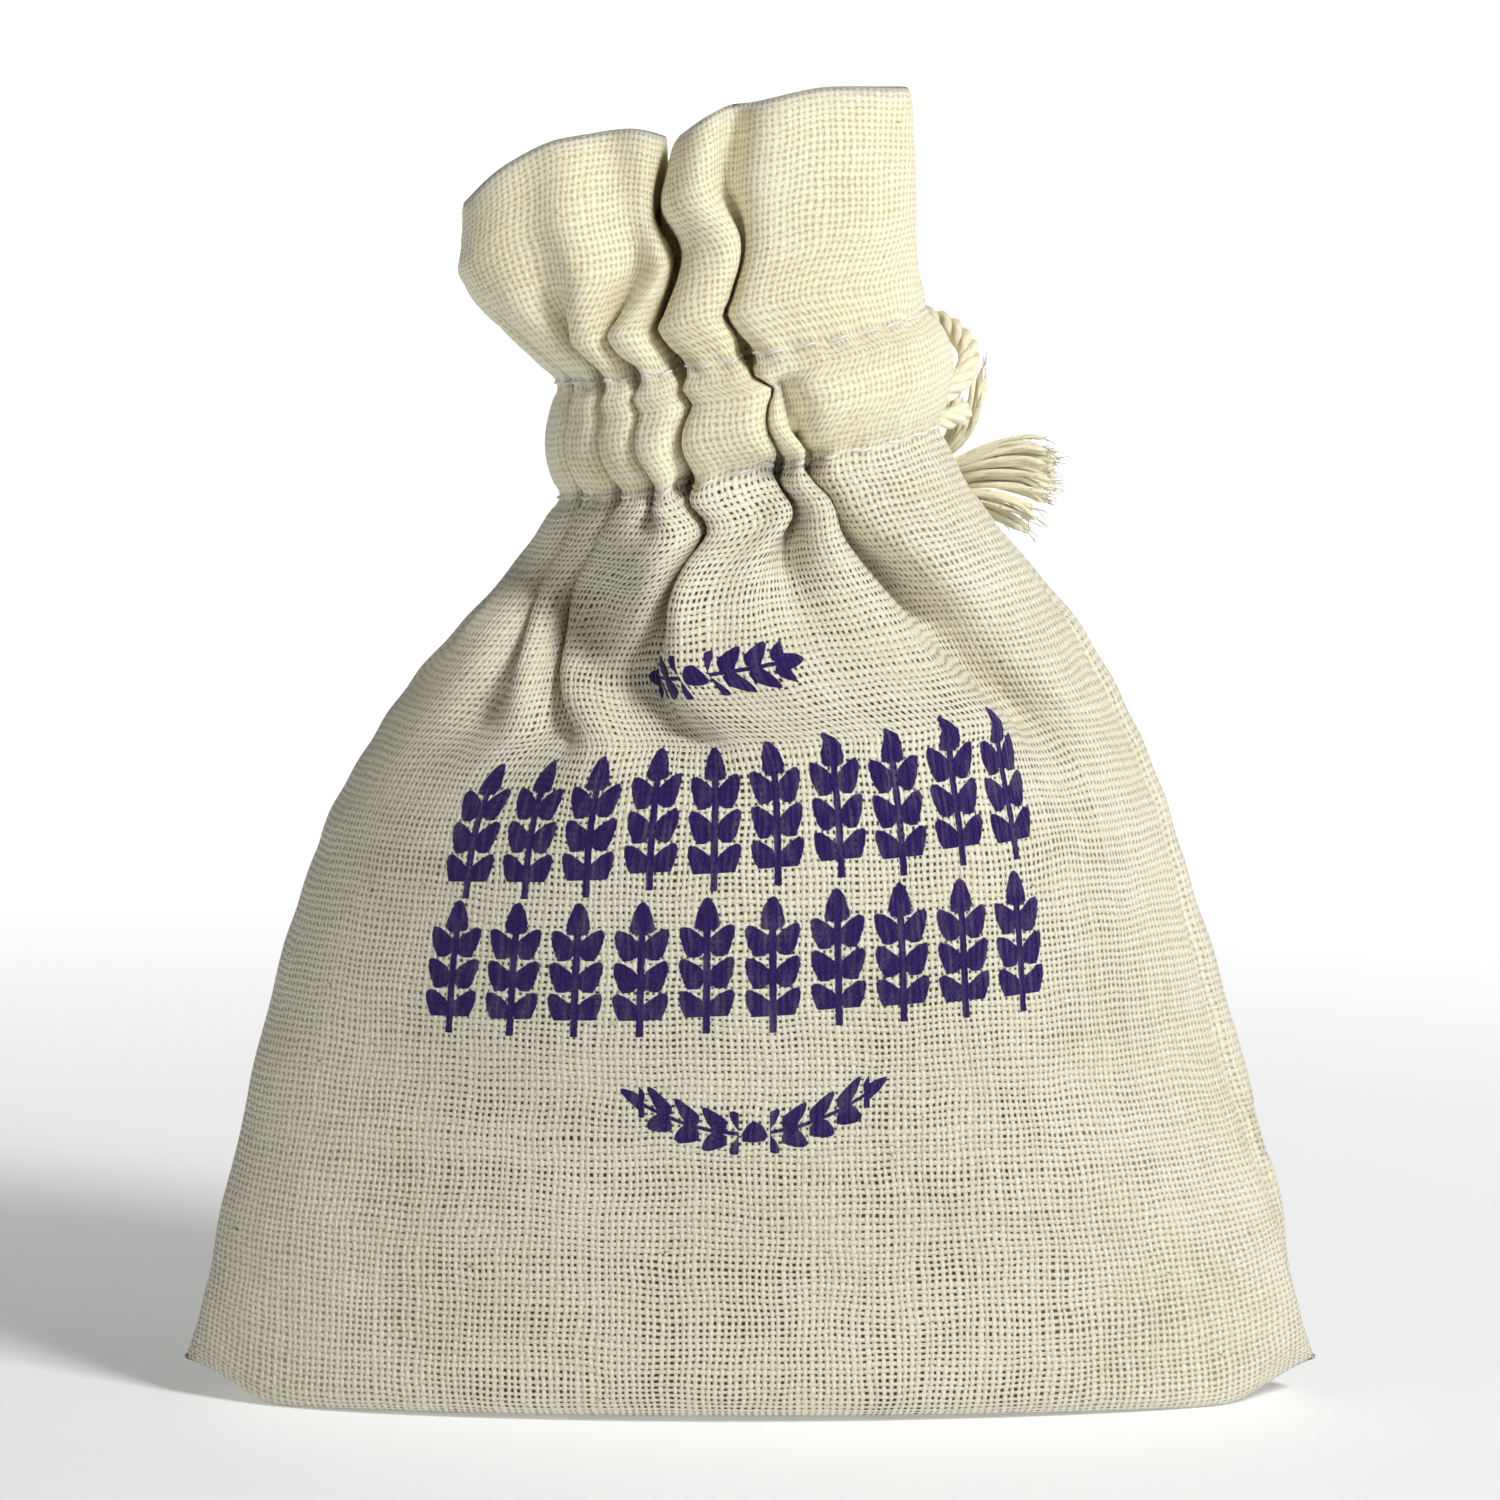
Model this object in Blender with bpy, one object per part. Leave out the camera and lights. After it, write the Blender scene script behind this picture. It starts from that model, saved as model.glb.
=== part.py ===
"""Drawstring herb sachet pouch: a muslin bag filled with herbs, gathered by a cord in a stitched casing.

Metres, +Z up. The pouch stands on its bottom fold, with its base centre at the origin. Its wide face
looks along -Y, and the cord leaves the casing on the +X side.
"""

import math

import bpy
from mathutils import Vector

MM = 0.001

# Cloth and clearances
CLOTH = 0.4 * MM
GAP = 0.35 * MM

# Body sections: height, half width, half depth, all in millimetres
BODY = [
    (0.0, 32.5, 9.4),
    (1.4, 34.6, 10.2),
    (3.8, 37.3, 10.9),
    (11.0, 35.5, 11.6),
    (21.0, 33.0, 13.6),
    (31.0, 30.3, 16.4),
    (39.5, 27.5, 17.6),
    (46.0, 23.9, 16.8),
    (51.0, 20.6, 15.2),
    (55.5, 17.2, 13.4),
    (59.6, 14.4, 12.0),
]
BODY_SIDES = 56
FILL_SIDES = 40
FILL_FROM_SIDE = 5.5 * MM
FILL_FROM_FACE = 0.8 * MM
FILL_BOTTOM = 0.8 * MM
FILL_TOP = 53.5 * MM

# Seam allowances, inside the two side seams
SEAM_WIDTH = 3.2 * MM
SEAM_THICKNESS = 0.8 * MM
SEAM_BOTTOM = 4.0 * MM
SEAM_TOP = 50.0 * MM
SEAM_STEPS = 12
OVERLOCK_DIAMETER = 0.5 * MM

# Casing: the tunnel between the two stitch rows
CASING_BOTTOM = 61.2 * MM
CASING_TOP = 69.2 * MM
CASING_HALF_WIDTH = 12.3 * MM
CASING_HALF_DEPTH = 10.0 * MM
CASING_BULGE = 0.4 * MM
PUFFS = 18
PUFF_HEIGHT = 0.25 * MM
EXIT_HALF_GAP = 2.2 * MM
SEAM_HALF_GAP = 0.25 * MM
THREAD_DIAMETER = 0.34 * MM
STITCH_FROM_EDGE = 0.5 * MM

# Heading: the ruffle above the casing
HEADING_HALF_WIDTH = 15.3 * MM
HEADING_HALF_DEPTH = 6.4 * MM
HEADING_FLARE_HEIGHT = 10.0 * MM
HEADING_SHIFT = -4.4 * MM
HEADING_LEFT_TOP = 81.0 * MM
HEADING_RIGHT_TOP = 86.2 * MM
HEADING_STEPS = 6
HALF_SIDES = 24

# Cord
CORD_DIAMETER = 1.5 * MM
CORD_HEIGHT = 65.2 * MM
LOOP_OPEN_DEGREES = 24
KNOT_CENTRE = Vector((11.7, 9.8, 60.9)) * MM
KNOT_RADIUS = 1.6 * MM
STRAND_DIAMETER = 0.9 * MM

# Where the neck bends, and where the tassel swings
NECK_PIVOT = Vector((0, 0, 62.2)) * MM

# Routes in millimetres: straight out of the side seam, round the back of the neck, and to the knot
TAIL_A = [
    (7.2, -0.95, 66.0),
    (9.8, -0.95, 66.0),
    (12.0, -0.7, 66.1),
    (13.7, 0.7, 67.0),
    (14.3, 3.3, 68.6),
    (12.8, 6.6, 70.1),
    (9.4, 9.9, 70.7),
    (5.8, 12.6, 69.6),
    (3.6, 14.3, 67.3),
    (4.1, 15.0, 64.7),
    (6.6, 14.9, 62.5),
    (9.2, 13.5, 61.6),
    (10.9, 11.5, 61.2),
]
TAIL_B = [
    (7.2, 0.95, 64.4),
    (9.6, 0.9, 64.4),
    (12.0, 1.1, 64.4),
    (13.7, 2.8, 64.5),
    (13.2, 5.5, 64.8),
    (10.2, 9.0, 65.3),
    (6.6, 11.5, 65.7),
    (3.4, 13.0, 65.8),
    (0.3, 14.0, 65.4),
    (-1.9, 14.6, 64.5),
    (-2.9, 14.9, 62.2),
    (-1.9, 15.0, 60.0),
    (0.3, 14.9, 59.0),
    (3.2, 14.4, 58.9),
    (6.0, 13.4, 59.4),
    (8.2, 12.1, 60.3),
    (9.7, 10.9, 60.9),
]
STRANDS = {
    "upper_strand_1": [(13.2, 8.4, 61.7), (14.3, 8.0, 63.0), (14.8, 7.6, 65.0), (15.2, 7.4, 67.4)],
    "upper_strand_2": [(13.0, 9.8, 62.0), (13.6, 9.6, 63.4), (13.9, 9.3, 65.0)],
    "main_strand_1": [(13.4, 7.7, 60.6), (15.6, 6.9, 61.2), (18.0, 6.5, 61.5), (19.9, 6.4, 61.2)],
    "main_strand_2": [(13.6, 8.9, 60.5), (15.8, 8.3, 60.9), (18.2, 8.0, 60.8), (20.3, 7.9, 60.3)],
    "main_strand_3": [(13.6, 10.1, 60.6), (15.8, 9.9, 61.4), (18.2, 9.9, 61.9), (20.0, 10.0, 61.6)],
    "main_strand_4": [(13.4, 8.5, 59.3), (15.4, 7.6, 59.6), (18.0, 7.1, 59.5), (20.0, 7.0, 58.8)],
    "main_strand_5": [(13.3, 9.9, 59.4), (15.4, 9.4, 59.6), (18.0, 9.3, 59.4), (19.8, 9.4, 58.8)],
    "lower_strand_1": [(13.3, 7.8, 58.8), (15.4, 7.0, 58.7), (17.6, 6.6, 58.1), (19.2, 6.5, 57.2)],
    "lower_strand_2": [(12.9, 9.7, 58.2), (14.9, 9.3, 57.8), (17.0, 9.2, 57.0), (18.6, 9.3, 56.0)],
}

COTTON = ("natural_cotton", (0.80, 0.74, 0.58, 1), 0.9)
CORD_COTTON = ("cotton_cord", (0.86, 0.78, 0.55, 1), 0.85)
THREAD = ("sewing_thread", (0.93, 0.92, 0.88, 1), 0.6)
HERBS = ("dried_herbs", (0.33, 0.30, 0.36, 1), 0.95)


def clear_scene():
    for obj in list(bpy.data.objects):
        bpy.data.objects.remove(obj)


def material(name, colour, roughness):
    made = bpy.data.materials.get(name) or bpy.data.materials.new(name)
    made.use_nodes = True
    shader = made.node_tree.nodes["Principled BSDF"]
    shader.inputs["Base Color"].default_value = colour
    shader.inputs["Roughness"].default_value = roughness
    shader.inputs["Metallic"].default_value = 0.0
    return made


def pivot(name, place):
    """An empty on a joint's axis, which the moving pieces hang from."""
    empty = bpy.data.objects.new(name, None)
    empty.empty_display_size = 5 * MM
    empty.location = place
    bpy.context.collection.objects.link(empty)
    return empty


def hang(obj, parent):
    if parent is not None:
        obj.parent = parent
        obj.location = obj.location - parent_place(parent)


def parent_place(parent):
    """The world place of an empty, whose parents have no rotation."""
    place = Vector(parent.location)
    while parent.parent is not None:
        parent = parent.parent
        place += parent.location
    return place


def add_mesh(name, points, faces, look, parent=None):
    mesh = bpy.data.meshes.new(name)
    mesh.from_pydata(points, [], faces)
    mesh.materials.append(material(*look))
    mesh.shade_smooth()
    mesh.set_sharp_from_angle(angle=math.radians(40))
    obj = bpy.data.objects.new(name, mesh)
    bpy.context.collection.objects.link(obj)
    hang(obj, parent)
    return obj


def oval(half_width, half_depth, height, angles, centre_x=0.0, puff=0.0):
    """Points of an ellipse at one height, with an optional scallop for the gathers."""
    points = []
    for angle in angles:
        swell = puff * math.cos(PUFFS * angle)
        x = centre_x + (half_width + swell) * math.cos(angle)
        y = (half_depth + swell) * math.sin(angle)
        points.append((x, y, height))
    return points


def turn(count):
    return [math.tau * i / count for i in range(count)]


def fan(start, end, count):
    return [start + (end - start) * i / (count - 1) for i in range(count)]


def join_rows(rows, closed):
    """Points and quads of a skin through rows of equal length; the last row joins the first."""
    count = len(rows[0])
    points = [point for row in rows for point in row]
    faces = []
    for r in range(len(rows)):
        below = r * count
        above = (r + 1) % len(rows) * count
        for i in range(count if closed else count - 1):
            j = (i + 1) % count
            faces.append((below + i, below + j, above + j, above + i))
    if not closed:
        faces.append(tuple(r * count for r in range(len(rows))))
        faces.append(tuple(r * count + count - 1 for r in reversed(range(len(rows)))))
    return points, faces


def capped_loft(rows):
    """Points and faces of a solid through closed rows, with a flat cap on both ends."""
    count = len(rows[0])
    points = [point for row in rows for point in row]
    faces = []
    for r in range(len(rows) - 1):
        for i in range(count):
            j = (i + 1) % count
            faces.append((r * count + i, r * count + j, (r + 1) * count + j, (r + 1) * count + i))
    faces.append(tuple(reversed(range(count))))
    faces.append(tuple((len(rows) - 1) * count + i for i in range(count)))
    return points, faces


def body_size(height):
    """Half width and half depth of the pouch at a height, between its sections."""
    for (z0, a0, b0), (z1, a1, b1) in zip(BODY, BODY[1:]):
        if height <= z1 * MM:
            share = (height - z0 * MM) / ((z1 - z0) * MM)
            return (a0 + (a1 - a0) * share) * MM, (b0 + (b1 - b0) * share) * MM
    return BODY[-1][1] * MM, BODY[-1][2] * MM


def make_pouch_cloth():
    angles = turn(BODY_SIDES)
    outer = [oval(a * MM, b * MM, z * MM, angles) for z, a, b in BODY]
    inner = []
    for z, a, b in reversed(BODY):
        height = max(z * MM, CLOTH)
        inner.append(oval(a * MM - CLOTH, b * MM - CLOTH, height, angles))
    points, faces = capped_loft(outer + inner)
    add_mesh("pouch_cloth", points, faces, COTTON)


def make_herb_fill():
    heights = [FILL_BOTTOM] + [z * MM for z, _, _ in BODY if 2 < z < 53] + [FILL_TOP]
    rows = []
    for height in heights:
        half_width, half_depth = body_size(height)
        shoulder = 3.5 * MM if height == FILL_TOP else 0.0
        side = half_width - FILL_FROM_SIDE - shoulder
        face = half_depth - FILL_FROM_FACE - shoulder
        rows.append(oval(side, face, height, turn(FILL_SIDES)))
    points, faces = capped_loft(rows)
    add_mesh("herb_fill", points, faces, HERBS)


def side_line(side, inset):
    """Points down one side of the pouch, a distance in from the outside of the cloth."""
    line = []
    for height in fan(SEAM_BOTTOM, SEAM_TOP, SEAM_STEPS):
        half_width, _ = body_size(height)
        line.append((side * (half_width - inset), 0.0, height))
    return line


def make_seam_allowance(name, side):
    half = SEAM_THICKNESS / 2
    outside = side_line(side, CLOTH + GAP)
    inside = side_line(side, CLOTH + GAP + SEAM_WIDTH)
    rows = []
    for (x0, _, z), (x1, _, _) in zip(outside, inside):
        low, high = min(x0, x1), max(x0, x1)
        rows.append([(low, -half, z), (high, -half, z), (high, half, z), (low, half, z)])
    points, faces = capped_loft(rows)
    add_mesh(name, points, faces, COTTON)


def neck_wall(name, parent, sections, span, look):
    """A curved wall through sections of (height, half width, half depth, centre_x, puff)."""
    outer, inner = [], []
    for heights, a, b, centre_x, puff in sections:
        angles = fan(span[0], span[1], HALF_SIDES)
        row = oval(a, b, 0.0, angles, centre_x, puff)
        thin = oval(a - CLOTH, b - CLOTH, 0.0, angles, centre_x, puff)
        outer.append([(x, y, heights(x)) for x, y, _ in row])
        inner.append([(x, y, heights(x)) for x, y, _ in thin])
    points, faces = join_rows(outer + inner[::-1], closed=False)
    add_mesh(name, points, faces, look, parent)


def half_spans(half_depth, right_gap):
    """The front and back halves of the neck, each short of the two side seams."""
    right = math.asin(right_gap / half_depth)
    left = math.asin(SEAM_HALF_GAP / half_depth)
    return {
        "front": (math.pi + left, math.tau - right),
        "back": (right, math.pi - left),
    }


def level(height):
    return lambda x: height


def make_casing(parent):
    middle = (CASING_BOTTOM + CASING_TOP) / 2
    a, b = CASING_HALF_WIDTH, CASING_HALF_DEPTH
    outer = [
        (level(CASING_BOTTOM), a, b, 0.0, PUFF_HEIGHT),
        (level(middle), a + CASING_BULGE, b + CASING_BULGE, 0.0, PUFF_HEIGHT),
        (level(CASING_TOP), a, b, 0.0, PUFF_HEIGHT),
    ]
    inset = 2 * PUFF_HEIGHT + CLOTH + GAP + CORD_DIAMETER + GAP
    lining = [
        (level(CASING_BOTTOM), a - inset, b - inset, 0.0, 0.0),
        (level(CASING_TOP), a - inset, b - inset, 0.0, 0.0),
    ]
    for half, span in half_spans(b, EXIT_HALF_GAP).items():
        neck_wall(f"casing_{half}", parent, outer, span, COTTON)
    for half, span in half_spans(b - inset, EXIT_HALF_GAP).items():
        neck_wall(f"casing_lining_{half}", parent, lining, span, COTTON)


def heading_sections(inset):
    bottom = CASING_TOP + GAP
    sections = []
    for step in range(HEADING_STEPS):
        share = step / (HEADING_STEPS - 1)
        flare = min(1.0, share * (HEADING_RIGHT_TOP - bottom) / HEADING_FLARE_HEIGHT)
        a = CASING_HALF_WIDTH + (HEADING_HALF_WIDTH - CASING_HALF_WIDTH) * flare
        b = CASING_HALF_DEPTH + (HEADING_HALF_DEPTH - CASING_HALF_DEPTH) * flare

        def height(x, share=share):
            left_to_right = (x - HEADING_SHIFT) / (2 * HEADING_HALF_WIDTH) + 0.5
            top = HEADING_LEFT_TOP + (HEADING_RIGHT_TOP - HEADING_LEFT_TOP) * left_to_right
            return bottom + (min(top, HEADING_RIGHT_TOP) - bottom) * share

        sections.append((height, a - inset, b - inset, HEADING_SHIFT * flare, PUFF_HEIGHT))
    return sections


def make_heading(parent):
    layers = {"heading": 0.0, "heading_facing": CLOTH + GAP}
    for layer, inset in layers.items():
        for half, span in half_spans(HEADING_HALF_DEPTH, SEAM_HALF_GAP).items():
            neck_wall(f"{layer}_{half}", parent, heading_sections(inset), span, COTTON)


def smooth_route(points, spacing):
    """Points about one spacing apart on a smooth curve through the route (Catmull-Rom)."""
    route = [Vector(p) for p in points]
    ends = [2 * route[0] - route[1]] + route + [2 * route[-1] - route[-2]]
    fine = []
    for before, start, end, after in zip(ends, ends[1:], ends[2:], ends[3:]):
        steps = max(1, round((end - start).length / spacing))
        for i in range(steps):
            t = i / steps
            along = 2 * start + (end - before) * t
            bend = (2 * before - 5 * start + 4 * end - after) * t * t
            twist = (3 * start - before - 3 * end + after) * t * t * t
            fine.append(0.5 * (along + bend + twist))
    return fine + [route[-1]]


def add_tube(name, points, diameter, look, parent=None, resolution=2):
    curve = bpy.data.curves.new(name, "CURVE")
    curve.dimensions = "3D"
    curve.bevel_depth = diameter / 2
    curve.bevel_resolution = resolution
    curve.use_fill_caps = True
    spline = curve.splines.new("POLY")
    spline.points.add(len(points) - 1)
    for slot, point in zip(spline.points, points):
        slot.co = (*point, 1.0)
    curve.materials.append(material(*look))
    obj = bpy.data.objects.new(name, curve)
    bpy.context.collection.objects.link(obj)
    hang(obj, parent)
    return obj


def make_overlock_thread(name, side):
    inset = CLOTH + GAP + SEAM_WIDTH + GAP + OVERLOCK_DIAMETER / 2
    add_tube(name, side_line(side, inset), OVERLOCK_DIAMETER, THREAD, resolution=0)


def make_stitch_row(name, parent, height, span):
    out = GAP + THREAD_DIAMETER / 2
    a, b = CASING_HALF_WIDTH + CASING_BULGE / 2 + out, CASING_HALF_DEPTH + CASING_BULGE / 2 + out
    angles = fan(span[0], span[1], 2 * HALF_SIDES - 1)
    route = oval(a, b, height, angles, 0.0, PUFF_HEIGHT)
    add_tube(name, route, THREAD_DIAMETER, THREAD, parent, resolution=0)


def make_stitches(parent):
    rows = {
        "lower_stitch_row": CASING_BOTTOM + STITCH_FROM_EDGE,
        "upper_stitch_row": CASING_TOP - STITCH_FROM_EDGE,
    }
    for row, height in rows.items():
        for half, span in half_spans(CASING_HALF_DEPTH, EXIT_HALF_GAP).items():
            make_stitch_row(f"{row}_{half}", parent, height, span)


def make_drawcord_loop(parent):
    inset = PUFF_HEIGHT + CLOTH + GAP + CORD_DIAMETER / 2
    a, b = CASING_HALF_WIDTH - inset, CASING_HALF_DEPTH - inset
    opening = math.radians(LOOP_OPEN_DEGREES)
    route = oval(a, b, CORD_HEIGHT, fan(opening, math.tau - opening, 32))
    add_tube("drawcord_loop", route, CORD_DIAMETER, CORD_COTTON, parent)


def make_cord_tail(name, parent, route):
    points = smooth_route([Vector(p) * MM for p in route], CORD_DIAMETER)
    add_tube(name, points, CORD_DIAMETER, CORD_COTTON, parent)


def make_knot(parent):
    rings, sides = 9, 16
    rows = []
    for ring in range(1, rings):
        angle = math.pi * ring / rings
        radius = KNOT_RADIUS * math.sin(angle)
        height = -KNOT_RADIUS * math.cos(angle)
        rows.append(oval(radius, radius, height, turn(sides)))
    points, faces = capped_loft(rows)
    knot = add_mesh("cord_knot", points, faces, CORD_COTTON)
    knot.parent = parent


def make_strands(parent):
    for name, route in STRANDS.items():
        points = smooth_route([Vector(p) * MM for p in route], 2.0 * STRAND_DIAMETER)
        add_tube(name, points, STRAND_DIAMETER, CORD_COTTON, parent)


def make_pouch():
    make_pouch_cloth()
    make_herb_fill()
    for name, side in (("left", -1), ("right", 1)):
        make_seam_allowance(f"{name}_seam_allowance", side)
        make_overlock_thread(f"{name}_overlock_thread", side)


def make_neck():
    neck = pivot("neck_pivot", NECK_PIVOT)
    make_casing(neck)
    make_heading(neck)
    make_stitches(neck)
    make_drawcord_loop(neck)
    return neck


def make_cord(neck):
    cord = pivot("cord_pull", (0, 0, 0))
    cord.parent = neck
    cord.location = Vector(TAIL_B[0]) * MM - NECK_PIVOT
    make_cord_tail("cord_tail_a", cord, TAIL_A)
    make_cord_tail("cord_tail_b", cord, TAIL_B)
    tassel = pivot("tassel_pivot", (0, 0, 0))
    tassel.parent = cord
    tassel.location = KNOT_CENTRE - parent_place(cord)
    make_knot(tassel)
    make_strands(tassel)


def main():
    clear_scene()
    make_pouch()
    make_cord(make_neck())


main()
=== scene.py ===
"""Looks of the drawstring herb sachet pouch: gathered muslin, stitching, cord, tassel and herbs."""

import math

import bpy
import numpy as np
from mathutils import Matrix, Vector


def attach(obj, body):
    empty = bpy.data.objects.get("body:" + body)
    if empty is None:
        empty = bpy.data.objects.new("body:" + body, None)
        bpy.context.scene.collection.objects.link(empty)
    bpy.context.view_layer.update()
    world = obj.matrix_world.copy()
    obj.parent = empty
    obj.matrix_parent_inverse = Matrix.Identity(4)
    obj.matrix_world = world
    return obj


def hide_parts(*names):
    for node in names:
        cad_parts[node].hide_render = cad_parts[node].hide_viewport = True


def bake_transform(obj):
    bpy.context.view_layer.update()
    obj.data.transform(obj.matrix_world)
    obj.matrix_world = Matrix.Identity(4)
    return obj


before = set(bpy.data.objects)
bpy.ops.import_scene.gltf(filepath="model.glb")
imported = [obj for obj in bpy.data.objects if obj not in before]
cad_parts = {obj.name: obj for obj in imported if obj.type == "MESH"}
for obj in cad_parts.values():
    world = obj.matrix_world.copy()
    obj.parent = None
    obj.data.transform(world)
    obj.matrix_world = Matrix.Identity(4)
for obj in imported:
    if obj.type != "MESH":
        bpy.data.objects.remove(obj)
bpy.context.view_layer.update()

MM = 0.001
CLOTH_UV = 10  # steps of the cloth's UV layer in a metre

# The cloth, in millimetres of flat muslin: u runs round the pouch, v up from the bottom fold
GIRTH = 152
FRONT = GIRTH // 2
LOWER_STITCH = 74.5
UPPER_STITCH = 82.5
TOP_FOLD = 99
HEM_DEPTH = 26.0
LAYER_GAP = 0.55
FINE = 2  # fine grid steps in a millimetre of cloth
STITCH_PITCH = 2.7
STITCH_LENGTH = 2.0
THREAD_RADIUS = 0.125
CORNER_X = 37.3
CORNER_LIFT = 2.4
SEAM_TURN = 3.8  # how far the right side seam comes round to the front
SEAM_REACH = 14
FIRST_FILLED, LAST_FILLED = 9, 68  # rows of cloth that lie on the herbs
HERB_TOP = 56.5
RELAX_ROUNDS = 300

# Cross-sections of the cloth: v, height, half width, half depth, centre x, tilt of the row, lens exponent
SECTIONS = [
    (0.0, 0.0, 37.6, 0.02, 0.0, 0.0, 0.66),
    (4.5, 0.0, 37.4, 4.6, 0.0, 0.0, 0.64),
    (8.6, 0.1, 37.2, 8.6, 0.0, 0.0, 0.62),
    (10.6, 1.0, 37.1, 10.2, 0.0, 0.0, 0.62),
    (13.2, 3.4, 37.0, 11.0, 0.0, 0.0, 0.62),
    (21.0, 11.0, 35.8, 12.4, 0.0, 0.0, 0.60),
    (31.2, 21.0, 33.2, 14.4, 0.0, 0.0, 0.58),
    (41.4, 31.0, 30.4, 16.4, 0.0, 0.0, 0.55),
    (50.0, 39.5, 27.6, 17.3, 0.0, 0.02, 0.52),
    (56.8, 46.0, 24.0, 16.4, 0.0, 0.05, 0.50),
    (62.2, 51.0, 20.6, 14.6, 0.0, 0.09, 0.50),
    (66.4, 54.8, 17.4, 12.7, 0.0, 0.13, 0.50),
    (70.6, 58.4, 14.4, 10.9, 0.0, 0.16, 0.50),
    (74.5, 61.9, 12.4, 9.2, 0.0, 0.18, 0.50),
    (76.5, 63.7, 13.1, 11.0, 0.0, 0.19, 0.50),
    (78.5, 65.7, 13.4, 11.6, 0.0, 0.20, 0.50),
    (80.5, 67.6, 13.0, 10.9, -0.1, 0.20, 0.50),
    (82.5, 69.4, 11.9, 9.1, -0.3, 0.20, 0.50),
    (85.0, 71.8, 12.9, 8.6, -1.9, 0.19, 0.45),
    (88.5, 75.1, 14.6, 8.0, -3.7, 0.17, 0.38),
    (93.0, 79.4, 15.3, 7.3, -4.5, 0.13, 0.34),
    (99.0, 84.6, 15.0, 6.6, -4.4, 0.11, 0.34),
]

# Height of the top fold from left to right: x, z
TOP_EDGE = [
    (-20.0, 76.6),
    (-16.5, 80.6),
    (-12.5, 82.8),
    (-7.3, 83.4),
    (-5.6, 82.7),
    (-1.7, 84.7),
    (4.6, 86.2),
    (10.9, 85.9),
]
BACK_EDGE_DROP = 3.4

# Gathers, from where each dies out in the body up to the top fold: v, u, half width, strength
FOLDS = [
    [(62, 0, 4.5, 0), (74.5, 0, 3, 0.6), (82.5, 0, 3, 0.6), (88.5, 0, 7.5, 1), (99, 0, 8.5, 1)],
    [(57, 13, 4.5, 0), (66, 10.8, 4, 0.8), (74.5, 8.8, 2.9, 1), (82.5, 9.2, 2.9, 1), (88.5, 8, 3, 0.04)],
    [
        (56, 22.2, 5, 0), (61, 21, 4.6, 0.7), (67, 18.8, 4, 0.9),
        (74.5, 16.8, 2.9, 1), (82.5, 17.2, 2.9, 1), (88.5, 15.5, 3, 0.04),
    ],
    [(71.5, 24.4, 3, 0), (74.5, 24, 2.9, 1), (82.5, 24.6, 2.9, 1), (88.5, 23.4, 5, 0.12), (99, 21, 6, 0.08)],
    [
        (56, 31.8, 7, 0), (64, 33.4, 6.4, 0.75), (74.5, 33, 5.6, 1), (82.5, 35.0, 5.6, 1),
        (86, 35.9, 8, 1), (93, 35.0, 13.5, 1), (99, 36.2, 14.5, 1),
    ],
    [
        (62, 48.6, 6, 0), (74.5, 47.4, 4.8, 1), (82.5, 49, 5.4, 1),
        (86, 51.0, 5.2, 0.6), (93, 52.0, 3.8, 0.35), (99, 53.0, 3.6, 0.3),
    ],
    [
        (55, 62.4, 6, 0), (63, 59.2, 5.4, 0.45), (74.5, 56.6, 4.2, 0.85),
        (78, 55.4, 3.6, 0.3), (81, 54.6, 3.2, 0),
    ],
    [(62, 76, 4.5, 0), (74.5, 76, 4, 0.5), (82.5, 76, 4, 0.5), (88.5, 76, 8, 1), (99, 76, 9.5, 1)],
]
# Gathers of the back: v where each dies out, u, half width at the stitches and at the top, strength there
BACK_FOLDS = [
    (52, 86.5, 4.4, 4.6, 0.7),
    (45, 97, 4.4, 4.6, 0.9),
    (50, 108, 4.6, 5, 1),
    (44, 120, 4.4, 4.4, 0.5),
    (55, 131, 4.5, 5, 1),
    (48, 142, 4.2, 4.4, 0.5),
]
FOLDS += [
    [(low, u, 6, 0), (LOWER_STITCH, u, waist, 1), (TOP_FOLD, u, top, strength)]
    for low, u, waist, top, strength in BACK_FOLDS
]

# Lumps and hollows of the herbs under the front cloth: x, z, push towards the viewer, and their radii
LUMPS = [
    (-14.6, 54.4, -5.6, 3.2, 2.4),
    (-16.0, 49.4, 1.4, 4.5, 2.2),
    (-10.6, 51.6, -5.4, 2.2, 3.2),
    (-9.6, 46.4, 0.8, 3.6, 1.8),
    (-6.0, 56.5, 4.0, 2.8, 5.0),
    (0.8, 60.8, -1.8, 1.2, 1.8),
    (2.0, 53.0, 1.0, 3.5, 6.0),
    (8.2, 55.4, -1.9, 3.4, 2.0),
    (13.2, 52.6, -1.9, 5.6, 1.9),
    (12.0, 58.2, 1.0, 4.0, 2.4),
    (11.0, 48.2, 1.0, 6.0, 2.2),
    (0.0, 32.0, 0.7, 17.0, 12.0),
    (-22.0, 22.0, -0.5, 7.0, 10.0),
    (21.0, 36.0, 0.5, 7.0, 8.0),
]


def add_object(name, data):
    obj = bpy.data.objects.new(name, data)
    bpy.context.collection.objects.link(obj)
    return obj


def add_mesh(name, points, faces):
    """A mesh from an array of points in millimetres."""
    mesh = bpy.data.meshes.new(name)
    mesh.from_pydata((points * MM).tolist(), [], faces)
    return mesh


def column(keys, index, at):
    return np.interp(at, [k[0] for k in keys], [k[index] for k in keys])


def smoothed(values, passes=3):
    for _ in range(passes):
        padded = np.concatenate([values[:1], values, values[-1:]])
        values = (padded[:-2] + 2 * padded[1:-1] + padded[2:]) / 4
    return values


def smoothstep(low, high, value):
    t = np.clip((value - low) / (high - low), 0, 1)
    return t * t * (3 - 2 * t)


def lumps(x, z):
    """How far the herbs push the front cloth out, in millimetres."""
    out = np.zeros_like(x)
    for cx, cz, push, rx, rz in LUMPS:
        out += push * np.exp(-(((x - cx) / rx) ** 2) - ((z - cz) / rz) ** 2)
    return out


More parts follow.
